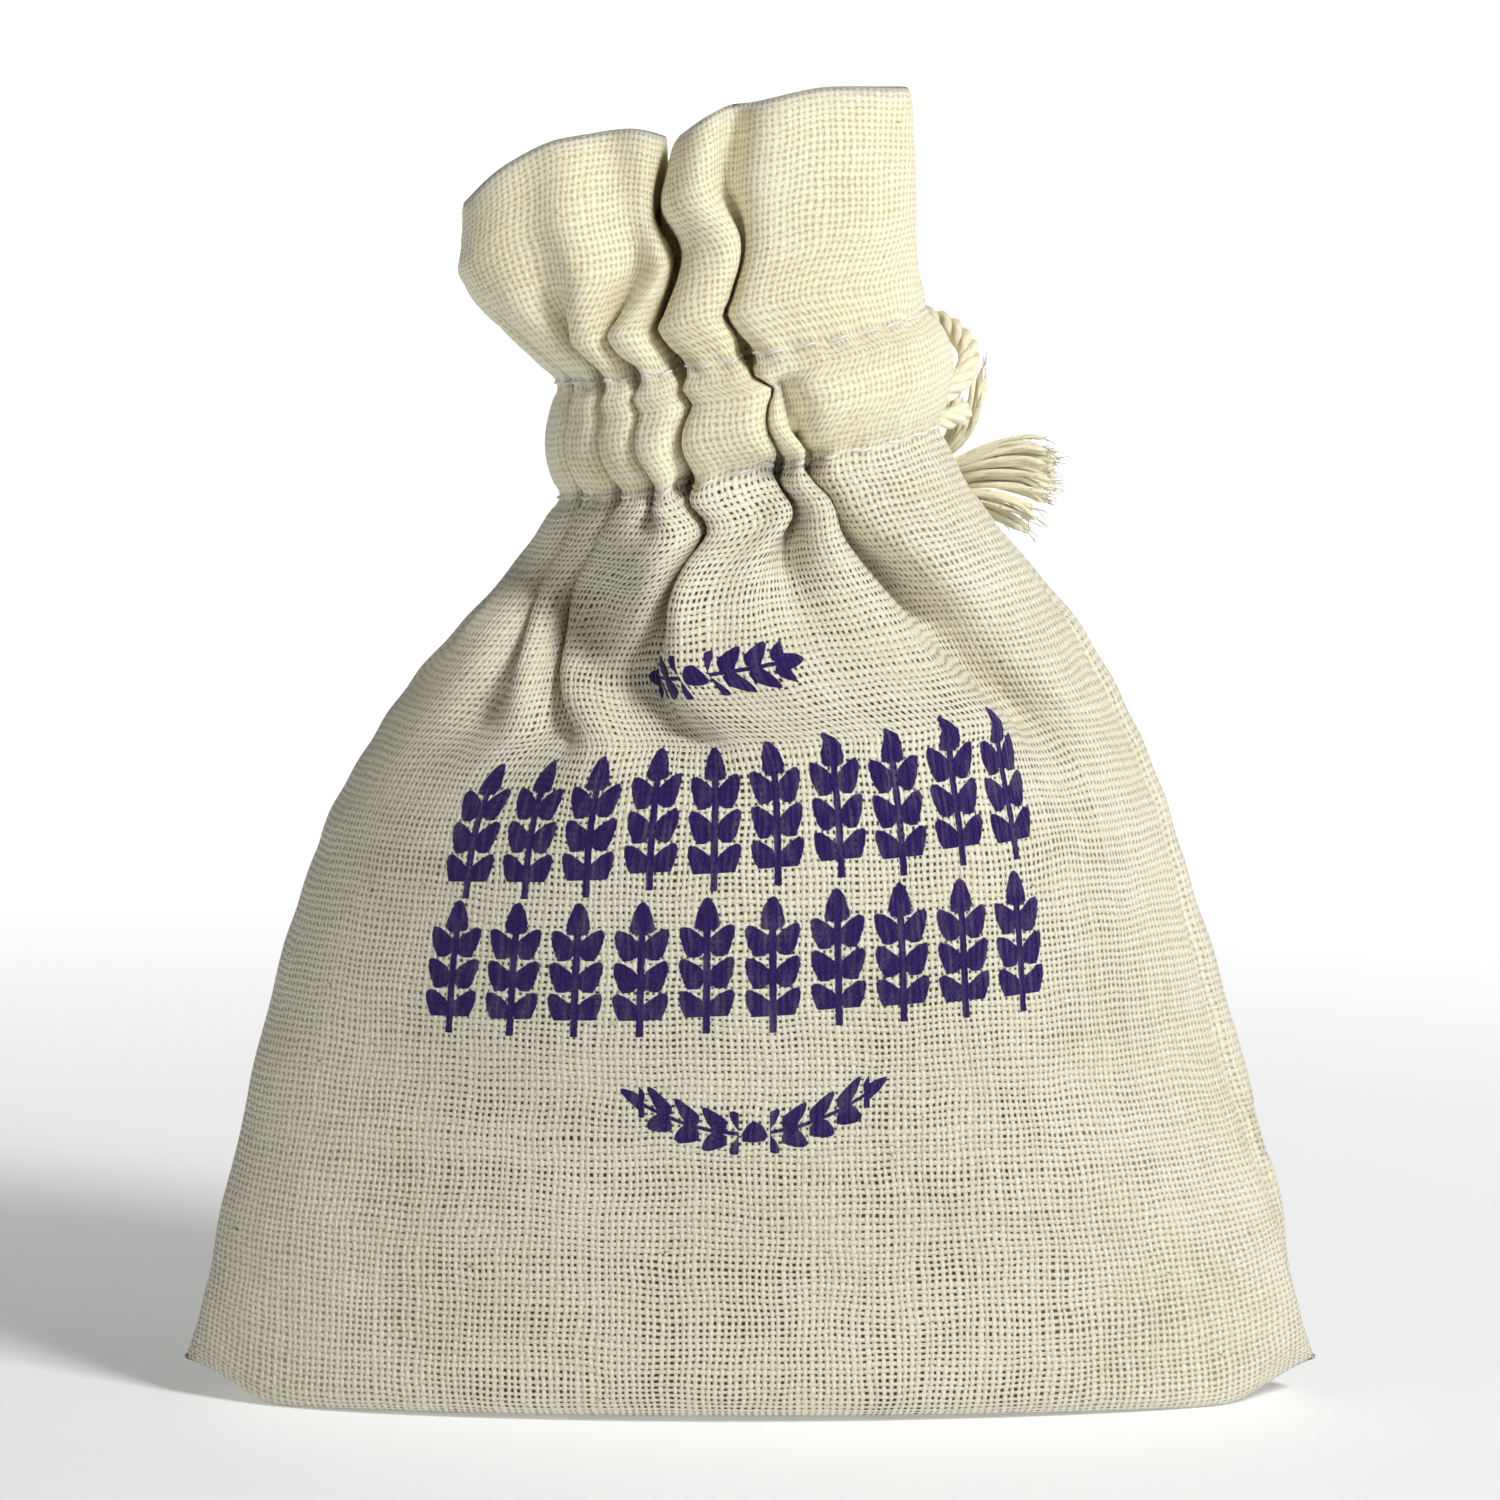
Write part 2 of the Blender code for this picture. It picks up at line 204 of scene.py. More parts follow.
def fold_bump(t):
    return smoothstep(1.0, 0.55, np.abs(t))


FOLD_AREA = 1.55
DEEPEST_GATHER = 0.97


def fold_state(v):
    """Each fold's place, half width and raw strength at height v of the cloth."""
    return [tuple(float(column(fold, i, v)) for i in (1, 2, 3)) for fold in FOLDS]


def half_arc(half_width, half_depth, exponent, side):
    """Points and running length along the front (side -1) or back half of a lens section."""
    turn = np.linspace(0, math.pi, 361)
    x = -half_width * np.cos(turn)
    y = side * half_depth * np.sin(turn) ** (2 * exponent)
    length = np.concatenate([[0], np.cumsum(np.hypot(np.diff(x), np.diff(y)))])
    return x, y, length


def gathered_half(v, section, side):
    """x and y of the cloth columns across one half of the section at v, gathered by its folds."""
    half_width, half_depth, exponent = section
    x, y, length = half_arc(half_width, half_depth, exponent, side)
    u = np.arange(0, FRONT + 1, dtype=float)
    folds = []
    for place, width, strength in fold_state(v):
        local = place if side < 0 else GIRTH - place
        if side > 0 and place == 0:
            local = 0.0
        if -0.1 <= local <= FRONT + 0.1 and strength > 0:
            folds.append((local, width, strength))
    spare = FRONT - length[-1]
    low, high = 0.0, 8.0
    for _ in range(24):
        scale = (low + high) / 2
        used = 0.0
        for place, width, strength in folds:
            share = 0.5 if place in (0.0, float(FRONT)) else 1.0
            used += share * FOLD_AREA * width * min(scale * strength, DEEPEST_GATHER)
        low, high = (scale, high) if used < spare else (low, scale)
    advance = np.ones_like(u)
    depth = np.zeros_like(u)
    steps = np.linspace(0, 1, 65)
    for place, width, strength in folds:
        q = min(scale * strength, DEEPEST_GATHER)
        t = (u - place) / width
        advance -= q * fold_bump(t)
        slope = np.sqrt(np.clip(1 - (1 - q * fold_bump(steps)) ** 2, 0, 1))
        inward = np.concatenate([np.cumsum(slope[::-1])[::-1], [0]])[:-1] * width * (steps[1] - steps[0])
        depth += np.interp(np.abs(t), steps, inward, right=0.0)
    advance = np.clip(advance, 0.02, 1)
    run = np.concatenate([[0], np.cumsum((advance[1:] + advance[:-1]) / 2)])
    run *= length[-1] / run[-1]
    px = np.interp(run, length, x)
    py = np.interp(run, length, y)
    tx = np.gradient(x, length)
    ty = np.gradient(y, length)
    nx = np.interp(run, length, ty) * -side
    ny = np.interp(run, length, tx) * side
    size = np.hypot(nx, ny)
    size[size == 0] = 1
    inward_x, inward_y = nx / size, ny / size
    return px, py, inward_x, inward_y, depth


def first_shape():
    """The gathered cloth before it relaxes: one row per millimetre of v, one column per millimetre of u."""
    rows = np.arange(0, TOP_FOLD + 1, dtype=float)
    fields = [smoothed(column(SECTIONS, i, rows), 2) for i in range(1, 7)]
    cloth = np.zeros((len(rows), GIRTH, 3))
    for r, v in enumerate(rows):
        z, a, b, cx, tilt, exponent = (field[r] for field in fields)
        for side in (-1, 1):
            px, py, nx, ny, depth = gathered_half(v, (a, max(b, 0.02), exponent), side)
            # The inward normal points at the axis
            flip = np.where(nx * px + ny * py > 0, -1.0, 1.0)
            x = cx + px + nx * flip * depth
            y = py + ny * flip * depth
            if side < 0:
                cloth[r, : FRONT + 1, 0], cloth[r, : FRONT + 1, 1] = x, y
            else:
                back = np.arange(FRONT, GIRTH)
                cloth[r, back, 0], cloth[r, back, 1] = x[GIRTH - back], y[GIRTH - back]
        lift = CORNER_LIFT * smoothstep(30.5, 37.5, np.abs(cloth[r, :, 0])) * float(smoothstep(30, 8, v))
        cloth[r, :, 2] = z + tilt * cloth[r, :, 0] + lift
    shape_top_edge(cloth, fields[0])
    turn_right_seam(cloth)
    front = cloth[:, : FRONT + 1]
    front[..., 1] -= lumps(front[..., 0], front[..., 2]) * smoothstep(12, 20, rows)[:, None]
    return cloth


def shape_top_edge(cloth, heights):
    """Fits the heading between the upper stitches and its uneven top edge."""
    base = int(UPPER_STITCH)
    base_z = cloth[base, :, 2].copy()
    back = smoothstep(-3, 6, cloth[..., 1])
    for r in range(base + 1, TOP_FOLD + 1):
        share = (heights[r] - heights[base]) / (heights[TOP_FOLD] - heights[base])
        edge = np.interp(cloth[r, :, 0], *zip(*TOP_EDGE)) - BACK_EDGE_DROP * back[r]
        cloth[r, :, 2] = base_z + share * (edge - base_z)


def turn_right_seam(cloth):
    """Brings the right side seam a little to the front, so a strip of the back shows beyond it."""
    u = np.arange(GIRTH, dtype=float)
    near = np.exp(-(((u - FRONT) / SEAM_REACH) ** 2))
    for r in range(12, 70):
        amount = SEAM_TURN * float(smoothstep(14, 34, r) * smoothstep(68, 54, r))
        from_u = u - amount * near
        for axis in range(3):
            values = np.append(cloth[r, :, axis], cloth[r, 0, axis])
            cloth[r, :, axis] = np.interp(from_u, np.append(u, GIRTH), values)


def noise_field(rows, columns, cell, seed):
    """Smooth noise of about unit size over the grid, periodic round the pouch."""
    random = np.random.default_rng(seed)
    down, across = int(rows / cell) + 3, max(4, round(columns / cell))
    coarse = random.standard_normal((down, across))
    r = np.arange(rows) / cell
    c = np.arange(columns) * across / columns
    out = np.zeros((rows, columns))
    for dr in range(-1, 3):
        for dc in range(-1, 3):
            ri = np.clip(np.floor(r).astype(int) + dr, 0, down - 1)
            ci = (np.floor(c).astype(int) + dc) % across
            wr = spline_weight(r - np.floor(r) - dr)
            wc = spline_weight(c - np.floor(c) - dc)
            out += coarse[np.ix_(ri, ci)] * wr[:, None] * wc[None, :]
    return out


def spline_weight(t):
    t = np.abs(t)
    near = 2 / 3 - t * t + t**3 / 2
    far = (2 - t) ** 3 / 6
    return np.where(t < 1, near, np.where(t < 2, far, 0.0))


def normals_of(cloth):
    across = np.roll(cloth, -1, 1) - np.roll(cloth, 1, 1)
    up = np.empty_like(cloth)
    up[1:-1] = cloth[2:] - cloth[:-2]
    up[0], up[-1] = cloth[1] - cloth[0], cloth[-1] - cloth[-2]
    normal = np.cross(across, up)
    return normal / np.maximum(np.linalg.norm(normal, axis=-1, keepdims=True), 1e-9)


def pull(a, b, rest, stiff, slack):
    """Moves two arrays of points towards their rest distance; compression is resisted less."""
    gap = b - a
    size = np.linalg.norm(gap, axis=-1, keepdims=True)
    stretch = size - rest
    amount = np.where(stretch > 0, stiff, slack) * 0.5 * stretch / np.maximum(size, 1e-9)
    move = gap * amount
    return a + move, b - move


def pull_rows(cloth, rest, stiff, slack):
    for phase in (0, 1):
        a = np.arange(phase, cloth.shape[0] - 1, 2)
        cloth[a], cloth[a + 1] = pull(cloth[a], cloth[a + 1], rest, stiff, slack)


def pull_columns(cloth, rest, stiff, slack):
    for phase in (0, 1):
        a = np.arange(phase, cloth.shape[1], 2)
        b = (a + 1) % cloth.shape[1]
        cloth[:, a], cloth[:, b] = pull(cloth[:, a], cloth[:, b], rest, stiff, slack)


def pull_diagonals(cloth, rest, stiff):
    for phase in (0, 1):
        a = np.arange(phase, cloth.shape[0] - 1, 2)
        for shift in (1, -1):
            beyond = np.roll(cloth[a + 1], -shift, 1)
            cloth[a], beyond = pull(cloth[a], beyond, rest, stiff, stiff)
            cloth[a + 1] = np.roll(beyond, shift, 1)


def laplacian(cloth):
    out = np.roll(cloth, 1, 1) + np.roll(cloth, -1, 1) - 2 * cloth
    out[1:-1] += cloth[2:] + cloth[:-2] - 2 * cloth[1:-1]
    return out


def tie_bottom(cloth):
    """The bottom fold belongs to the front and the back alike."""
    mirror = (-np.arange(GIRTH)) % GIRTH
    cloth[0] = (cloth[0] + cloth[0][mirror]) / 2


# How strongly each row stays at its first shape, and how it resists bending: v, share in a round
HOLD = [
    (0, 0.3), (10, 0.02), (50, 0.02), (58, 0.07), (72, 0.2), (75, 0.5), (82, 0.5), (86, 0.2), (99, 0.06),
]
BENDING = [(0, 0.018), (10, 0.02), (60, 0.02), (72, 0.01), (76, 0.006), (82, 0.006), (88, 0.014), (99, 0.018)]
# How far the herbs fall short of the cloth's section: height, gap
SUNK = [(30, 0.2), (38, 0.9), (45, 2.0), (51, 4.2), (57, 7.5)]
# How much of a stretch or a squeeze along the threads, and of a change on the bias, one round takes back
ALONG_THREAD = 0.9
SQUEEZED = 0.25
ON_BIAS = 0.08


def relax(cloth, rounds):
    """Lets the cloth slacken over the herbs: stiff along its threads, soft on the bias, held by stitches."""
    rows = np.arange(cloth.shape[0], dtype=float)
    target = cloth.copy()
    fields = {i: smoothed(column(SECTIONS, i, rows), 2) for i in (1, 2, 3, 6)}
    filled = (rows > FIRST_FILLED) & (rows < LAST_FILLED)
    z_rows, a_rows, b_rows, p_rows = (fields[i][filled] for i in (1, 2, 3, 6))
    sunk = column(SUNK, 1, z_rows)
    a_rows, b_rows = a_rows - sunk, b_rows - sunk
    hold = column(HOLD, 1, rows)
    stiffness = column(BENDING, 1, rows)
    u = np.arange(GIRTH)
    corner = np.minimum(np.abs(u - FRONT), np.minimum(u, GIRTH - u))
    hold = hold[:, None] + 0.3 * smoothstep(7, 3, corner)[None, :] * smoothstep(16, 9, rows)[:, None]
    for _ in range(rounds):
        pull_columns(cloth, 1.0, ALONG_THREAD, SQUEEZED)
        pull_rows(cloth, 1.0, ALONG_THREAD, SQUEEZED)
        pull_diagonals(cloth, math.sqrt(2), ON_BIAS)
        cloth -= stiffness[:, None, None] * laplacian(laplacian(cloth))
        cloth += hold[..., None] * (target - cloth)
        x, y, z = cloth[..., 0], cloth[..., 1], cloth[..., 2]
        a = np.interp(z, z_rows, a_rows)
        b = np.interp(z, z_rows, b_rows)
        p = np.interp(z, z_rows, p_rows)
        inside = np.clip(1 - (x / a) ** 2, 0, 1) ** p * b
        body = (rows > FIRST_FILLED)[:, None] & (z < HERB_TOP) & (np.abs(x) < a)
        front = body & (y < 0)
        face = inside + lumps(x, z)
        y[:] = np.where(front & (-y < face), -face, y)
        y[:] = np.where(body & (y >= 0) & (y < inside), inside, y)
        np.maximum(z, 0.0, out=z)
        tie_bottom(cloth)
    return cloth


def cubic_refine(cloth, factor):
    """The grid with factor steps per old step, on Catmull-Rom curves; columns are periodic."""

    def weights(t):
        return (
            (-t + 2 * t * t - t**3) / 2,
            (2 - 5 * t * t + 3 * t**3) / 2,
            (t + 4 * t * t - 3 * t**3) / 2,
            (-t * t + t**3) / 2,
        )

    rows = cloth.shape[0]
    wide = np.concatenate([2 * cloth[:1] - cloth[1:2], cloth, 2 * cloth[-1:] - cloth[-2:-1]])
    tall = []
    for r in range(rows - 1):
        for k in range(factor):
            w = weights(k / factor)
            tall.append(sum(w[i] * wide[r + i] for i in range(4)))
    tall.append(cloth[-1])
    tall = np.array(tall)
    out = np.empty((tall.shape[0], tall.shape[1] * factor, 3))
    for k in range(factor):
        w = weights(k / factor)
        out[:, k::factor] = sum(w[i] * np.roll(tall, 1 - i, 1) for i in range(4))
    return out


# How deep the sewing draws the cloth in, in millimetres
STITCH_SINK = 0.55
SEAM_SINK = 0.75
SEAM_RIPPLE = 0.05


def sew(grid):
    """Draws the cloth in along the two stitch rows and the side seams, with the ripples the sewing leaves."""
    v = np.arange(grid.shape[0])[:, None] / FINE
    u = np.arange(grid.shape[1])[None, :] / FINE
    to_seam = np.minimum(np.abs(u - FRONT), np.minimum(u, GIRTH - u))
    inward = np.zeros(grid.shape[:2])
    for line in (LOWER_STITCH, UPPER_STITCH):
        pucker = 1 + 0.35 * np.cos(2 * math.pi * u / STITCH_PITCH)
        inward += STITCH_SINK * np.exp(-(((v - line) / 0.8) ** 2)) * pucker
    along = smoothstep(8, 16, v) * smoothstep(74, 68, v)
    inward += SEAM_SINK * np.exp(-((to_seam / 0.9) ** 2)) * along
    wave = np.sin(2 * math.pi * (v / 5.3 + 0.8 * np.sin(v / 9)))
    inward += SEAM_RIPPLE * wave * np.exp(-(((to_seam - 2.5) / 4.5) ** 2)) * along
    sewn = grid - smooth_normals(grid) * inward[..., None]
    sewn[: 12 * FINE, :, 0] = np.clip(sewn[: 12 * FINE, :, 0], -CORNER_X, CORNER_X)
    return sewn


def add_hem(outer):
    """Turns the cloth over at the top and down inside, a layer's gap behind itself."""
    normal = smooth_normals(outer)
    outer = outer.copy()
    outer[-1] -= normal[-1] * 0.22
    outer[-2] -= normal[-2] * 0.06
    depth = int(HEM_DEPTH * FINE)
    rows = []
    last = outer.shape[0] - 1
    for k in range(1, depth + 1):
        r = last - k
        gap = LAYER_GAP * float(smoothstep(0, 2.5 * FINE, k) ** 0.5)
        rows.append(outer[r] - normal[r] * gap)
    return np.concatenate([outer, np.array(rows)])


def smooth_normals(cloth):
    normal = normals_of(cloth)
    for _ in range(4):
        normal = normal + np.roll(normal, 1, 1) + np.roll(normal, -1, 1)
        normal /= np.maximum(np.linalg.norm(normal, axis=-1, keepdims=True), 1e-9)
    return normal


def cloth_mesh(name, grid):
    """One strip of cloth from the grid: down the back, under, and up the front, open at the seams."""
    half = FRONT * FINE
    front = grid[:, : half + 1]
    back = np.concatenate([grid[:, half:], grid[:, :1]], 1)[:, ::-1]
    strip = np.concatenate([back[:0:-1], front])
    rows, columns = strip.shape[:2]
    index = np.arange(rows * columns).reshape(rows, columns)
    faces = np.stack([index[:-1, :-1], index[:-1, 1:], index[1:, 1:], index[1:, :-1]], -1)
    u = np.arange(columns) / FINE
    v = (np.arange(rows) - (grid.shape[0] - 1)) / FINE
    uv = np.empty((rows - 1, columns - 1, 4, 2))
    uv[:, :, (0, 3), 0] = u[:-1][None, :, None]
    uv[:, :, (1, 2), 0] = u[1:][None, :, None]
    uv[:, :, (0, 1), 1] = v[:-1][:, None, None]
    uv[:, :, (2, 3), 1] = v[1:][:, None, None]
    mesh = bpy.data.meshes.new(name)
    points = strip.reshape(-1, 3) * MM
    faces = faces.reshape(-1, 4)
    mesh.vertices.add(len(points))
    mesh.vertices.foreach_set("co", points.ravel())
    mesh.loops.add(faces.size)
    mesh.loops.foreach_set("vertex_index", faces.ravel().astype(np.int32))
    mesh.polygons.add(len(faces))
    mesh.polygons.foreach_set("loop_start", np.arange(0, faces.size, 4, dtype=np.int32))
    layer = mesh.uv_layers.new(name="cloth_mm")
    mesh.update(calc_edges=True)
    layer.data.foreach_set("uv", (uv.reshape(-1, 2) * MM * CLOTH_UV).ravel())
    mesh.validate()
    mesh.shade_smooth()
    return add_object(name, mesh)


# Drawcord, knot and tassel, in millimetres
CORD_DIAMETER = 1.5
CORD_PLIES = 4
CORD_LAY = 6.0  # length of one turn of the plies
CORD_STEP = 0.35
PLY_PRESS = 1.04
TAIL_FIBRES = 60
KNOT_DIAMETER, KNOT_PLIES, KNOT_LAY = 1.15, 3, 4.0
KNOT_SIZE = 0.36
TAIL_A = [
    (7.2, -0.95, 66.0), (9.8, -0.95, 66.0), (12.0, -0.7, 66.1), (13.7, 0.7, 67.0), (14.3, 3.3, 68.6),
    (12.8, 6.6, 70.1), (9.4, 9.9, 70.7), (5.8, 12.6, 69.6), (3.6, 14.3, 67.3), (4.1, 15.0, 64.7),
    (6.6, 14.9, 62.5), (9.2, 13.5, 61.6), (10.9, 11.5, 61.2),
]
TAIL_B = [
    (7.2, 0.95, 64.4), (9.6, 0.9, 64.4), (12.0, 1.1, 64.4), (13.7, 2.8, 64.5), (13.2, 5.5, 64.8),
    (10.2, 9.0, 65.3), (6.6, 11.5, 65.7), (3.4, 13.0, 65.8), (0.3, 14.0, 65.4), (-1.9, 14.6, 64.5),
    (-2.9, 14.9, 62.2), (-1.9, 15.0, 60.0), (0.3, 14.9, 59.0), (3.2, 14.4, 58.9), (6.0, 13.4, 59.4),
    (8.2, 12.1, 60.3), (9.7, 10.9, 60.9),
]
KNOT_CENTRE = (11.7, 9.8, 60.9)
STRANDS = [
    [(13.2, 8.4, 61.7), (14.3, 8.0, 63.0), (14.8, 7.6, 65.0), (15.2, 7.4, 67.4)],
    [(13.0, 9.8, 62.0), (13.6, 9.6, 63.4), (13.9, 9.3, 65.0)],
    [(13.4, 7.7, 60.6), (15.6, 6.9, 61.2), (18.0, 6.5, 61.5), (19.9, 6.4, 61.2)],
    [(13.6, 8.9, 60.5), (15.8, 8.3, 60.9), (18.2, 8.0, 60.8), (20.3, 7.9, 60.3)],
    [(13.6, 10.1, 60.6), (15.8, 9.9, 61.4), (18.2, 9.9, 61.9), (20.0, 10.0, 61.6)],
    [(13.4, 8.5, 59.3), (15.4, 7.6, 59.6), (18.0, 7.1, 59.5), (20.0, 7.0, 58.8)],
    [(13.3, 9.9, 59.4), (15.4, 9.4, 59.6), (18.0, 9.3, 59.4), (19.8, 9.4, 58.8)],
    [(13.3, 7.8, 58.8), (15.4, 7.0, 58.7), (17.6, 6.6, 58.1), (19.2, 6.5, 57.2)],
    [(12.9, 9.7, 58.2), (14.9, 9.3, 57.8), (17.0, 9.2, 57.0), (18.6, 9.3, 56.0)],
]
MAIN_NEIGHBOURS = [(2, 3), (3, 4), (5, 6), (2, 5), (3, 6)]
YARNS_IN_STRAND = 5
YARN_RADIUS = 0.20
YARN_STEP = 0.4
YARN_FIBRES = 10
FIBRE_RADIUS = 0.028


def smooth_path(points, spacing):
    """A Catmull-Rom curve through the points, with about that spacing between its own points."""
    points = np.array(points, float)
    wide = np.concatenate([2 * points[:1] - points[1:2], points, 2 * points[-1:] - points[-2:-1]])
    out = []
    for k in range(len(points) - 1):
        a, b, c, d = wide[k : k + 4]
        steps = max(2, math.ceil(np.linalg.norm(c - b) / spacing))
        for t in np.arange(steps) / steps:
            bow = (2 * a - 5 * b + 4 * c - d) * t * t
            out.append(0.5 * (2 * b + (c - a) * t + bow + (3 * b - a - 3 * c + d) * t**3))
    out.append(points[-1])
    return np.array(out)


def path_frame(path):
    """Unit tangents and two cross directions carried along the path without twisting."""
    tangent = np.gradient(path, axis=0)
    tangent /= np.linalg.norm(tangent, axis=1, keepdims=True)
    side = np.cross(tangent[0], (0.3, 0.2, 1.0))
    sides = []
    for t in tangent:
        side = side - t * side.dot(t)
        side = side / np.linalg.norm(side)
        sides.append(side)
    sides = np.array(sides)
    return tangent, sides, np.cross(tangent, sides)


def path_run(path):
    return np.concatenate([[0], np.cumsum(np.linalg.norm(np.diff(path, axis=0), axis=1))])


def offset_path(path, radius, turn):
    """The path moved off its own line by radius, at angle turn round it; both may vary along it."""
    _, side, other = path_frame(path)
    turn = np.asarray(turn)[..., None]
    return path + np.asarray(radius)[..., None] * (side * np.cos(turn) + other * np.sin(turn))


def round_ends(path, radius):
    """Radii that close the tube to a rounded point at both ends."""
    run = path_run(path)
    ends = np.minimum(run, run[-1] - run)
    return radius * np.sqrt(np.clip(ends / (1.2 * radius), 0.02, 1))


def tubes(name, runs, sides=8):
    """One mesh of closed tubes, each a path with its radii in millimetres, with a thread UV layer."""
    points, faces, uvs = [], [], []
    start = 0
    angle = np.arange(sides) * 2 * math.pi / sides
    for path, radius in runs:
        radius = np.broadcast_to(radius, len(path))
        _, side, other = path_frame(path)
        ring = side[:, None] * np.cos(angle)[None, :, None] + other[:, None] * np.sin(angle)[None, :, None]
        points.append((path[:, None] + ring * radius[:, None, None]).reshape(-1, 3))
        along = path_run(path) * 0.1
        for k in range(len(path) - 1):
            for j in range(sides):
                a, b = start + k * sides + j, start + k * sides + (j + 1) % sides
                faces.append((a, b, b + sides, a + sides))
                left, right = j / sides, (j + 1) / sides
                uvs += [(left, along[k]), (right, along[k]), (right, along[k + 1]), (left, along[k + 1])]
        faces.append(tuple(range(start + sides - 1, start - 1, -1)))
        end = start + (len(path) - 1) * sides
        faces.append(tuple(range(end, end + sides)))
        uvs += [(0.5, along[0])] * sides + [(0.5, along[-1])] * sides
        start += len(path) * sides
    mesh = add_mesh(name, np.concatenate(points), faces)
    layer = mesh.uv_layers.new(name="thread")
    layer.data.foreach_set("uv", np.array(uvs).ravel())
    mesh.shade_smooth()
    return add_object(name, mesh)


def plied(path, diameter, plies, turn_length):
    """The plies of a twisted cord on that centreline."""
    radius = diameter / 2
    ply = radius / (1 + 1 / math.sin(math.pi / plies))
    turn = path_run(path) * 2 * math.pi / turn_length
    turns = [turn + 2 * math.pi * k / plies for k in range(plies)]
    return [(offset_path(path, radius - ply, each), ply * PLY_PRESS) for each in turns]


def dress(obj, body, look):
    obj.data.materials.append(look)
    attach(obj, body)


def make_cords(look):
    """The two tails of the drawcord, the knot that joins them, and the yarns of its tassel."""
    random = np.random.default_rng(7)
    for name, points in (("tail_a", TAIL_A), ("tail_b", TAIL_B)):
        path = smooth_path(points, CORD_STEP)
        core = (path, CORD_DIAMETER * 0.22)
        plies = plied(path, CORD_DIAMETER, CORD_PLIES, CORD_LAY)
        fluff = [loose_fibre(plies[k % CORD_PLIES][0][:-9], random, 1.0) for k in range(TAIL_FIBRES)]
        tail = tubes(name, plies + [core] + fluff)
        dress(tail, "cord", look)
        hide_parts("cord_" + name)
    turn = np.linspace(0, 2 * math.pi, 121)
    across = np.sin(turn) + 2 * np.sin(2 * turn)
    up = np.cos(turn) - 2 * np.cos(2 * turn)
    along = -1.3 * np.sin(3 * turn)
    knot = np.array(KNOT_CENTRE) + np.stack([along, across, up], -1) * KNOT_SIZE
    knot_piece = tubes("knot", plied(knot, KNOT_DIAMETER, KNOT_PLIES, KNOT_LAY))
    dress(knot_piece, "tassel", look)
    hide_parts("cord_knot")
    tassel = make_tassel(look)


def make_tassel(look):
    random = np.random.default_rng(11)
    runs = []
    between = [[tuple(m) for m in (np.array(STRANDS[a]) + STRANDS[b]) / 2] for a, b in MAIN_NEIGHBOURS]
    for points in STRANDS + between:
        start = np.array(KNOT_CENTRE) + (np.array(points[0]) - KNOT_CENTRE) * 0.35
        line = smooth_path([start, *points], YARN_STEP)
        share = path_run(line) / path_run(line)[-1]
        for k in range(YARNS_IN_STRAND):
            turn = 2 * math.pi * (k / YARNS_IN_STRAND + random.uniform(0, 0.1))
            turn = turn + share * random.uniform(-1.5, 1.5)
            spread = 0.17 + 0.42 * share**1.4 * random.uniform(0.4, 1.3)
            yarn = offset_path(line, spread, turn)
            sway = 0.10 * np.sin(share * random.uniform(5, 9) + random.uniform(0, 6)) * share
            yarn = yarn + sway[:, None] * random.standard_normal(3)
            yarn = yarn[: len(yarn) - random.integers(0, 3)]
            runs.append((yarn, round_ends(yarn, YARN_RADIUS * random.uniform(0.85, 1.15))))
            for _ in range(YARN_FIBRES):
                runs.append(loose_fibre(yarn, random))
    piece = tubes("tassel_yarns", runs, 6)
    dress(piece, "tassel", look)
    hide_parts(*[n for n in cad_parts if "_strand_" in n])
    return piece


def loose_fibre(yarn, random, evenness=2.0):
    """A fine fibre that leaves the yarn, mostly near its end unless evenness is 1."""
    at = int(len(yarn) * (1 - random.uniform(0, 1) ** evenness * 0.85)) - 1
    at = max(1, min(at, len(yarn) - 2))
    ahead = yarn[at + 1] - yarn[at - 1]
    ahead /= np.linalg.norm(ahead)
    away = random.standard_normal(3)
    length = random.uniform(0.5, 1.2)
    t = np.linspace(0, 1, 6)[:, None]
    path = yarn[at] + ahead * length * t + (away * 0.28 * length) * t**2
    return path, round_ends(path, FIBRE_RADIUS)


def make_stitches(grid, look):
    """Running stitches in white thread along both edges of the casing."""
    normal = smooth_normals(grid)
    random = np.random.default_rng(3)
    for name, line in (("lower_stitches", LOWER_STITCH), ("upper_stitches", UPPER_STITCH)):
        row = int(line * FINE)
        path, out = grid[row], normal[row]
        runs = []
        for k in range(int(GIRTH / STITCH_PITCH)):
            u = (k * STITCH_PITCH + np.linspace(0, STITCH_LENGTH, 8)) * FINE
            t = np.linspace(0, 1, 8)
            low = np.floor(u).astype(int)
            mix = (u - low)[:, None]
            low %= len(path)
            high = (low + 1) % len(path)
            place = path[low] * (1 - mix) + path[high] * mix
            lift = out[low] * (1 - mix) + out[high] * mix
            place = place + lift * (0.26 * np.sin(math.pi * t) - random.uniform(0.12, 0.24))[:, None]
            runs.append((place, round_ends(place, THREAD_RADIUS)))
        piece = tubes(name, runs, 6)
        piece.data.materials.append(look)
        follow_cloth(piece)
        prefix = name.split("_")[0] + "_stitch_row_"
        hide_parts(prefix + "front", prefix + "back")


def follow_cloth(piece):
    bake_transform(piece)


# Seam allowances, in millimetres: from the seam line to where they start and end, and half their thickness
FLANGE_START = 0.7
FLANGE_WIDTH = 6.0
FLANGE_HALF = 0.25
EDGING_RADIUS = 0.14
EDGING_PITCH = 2.0


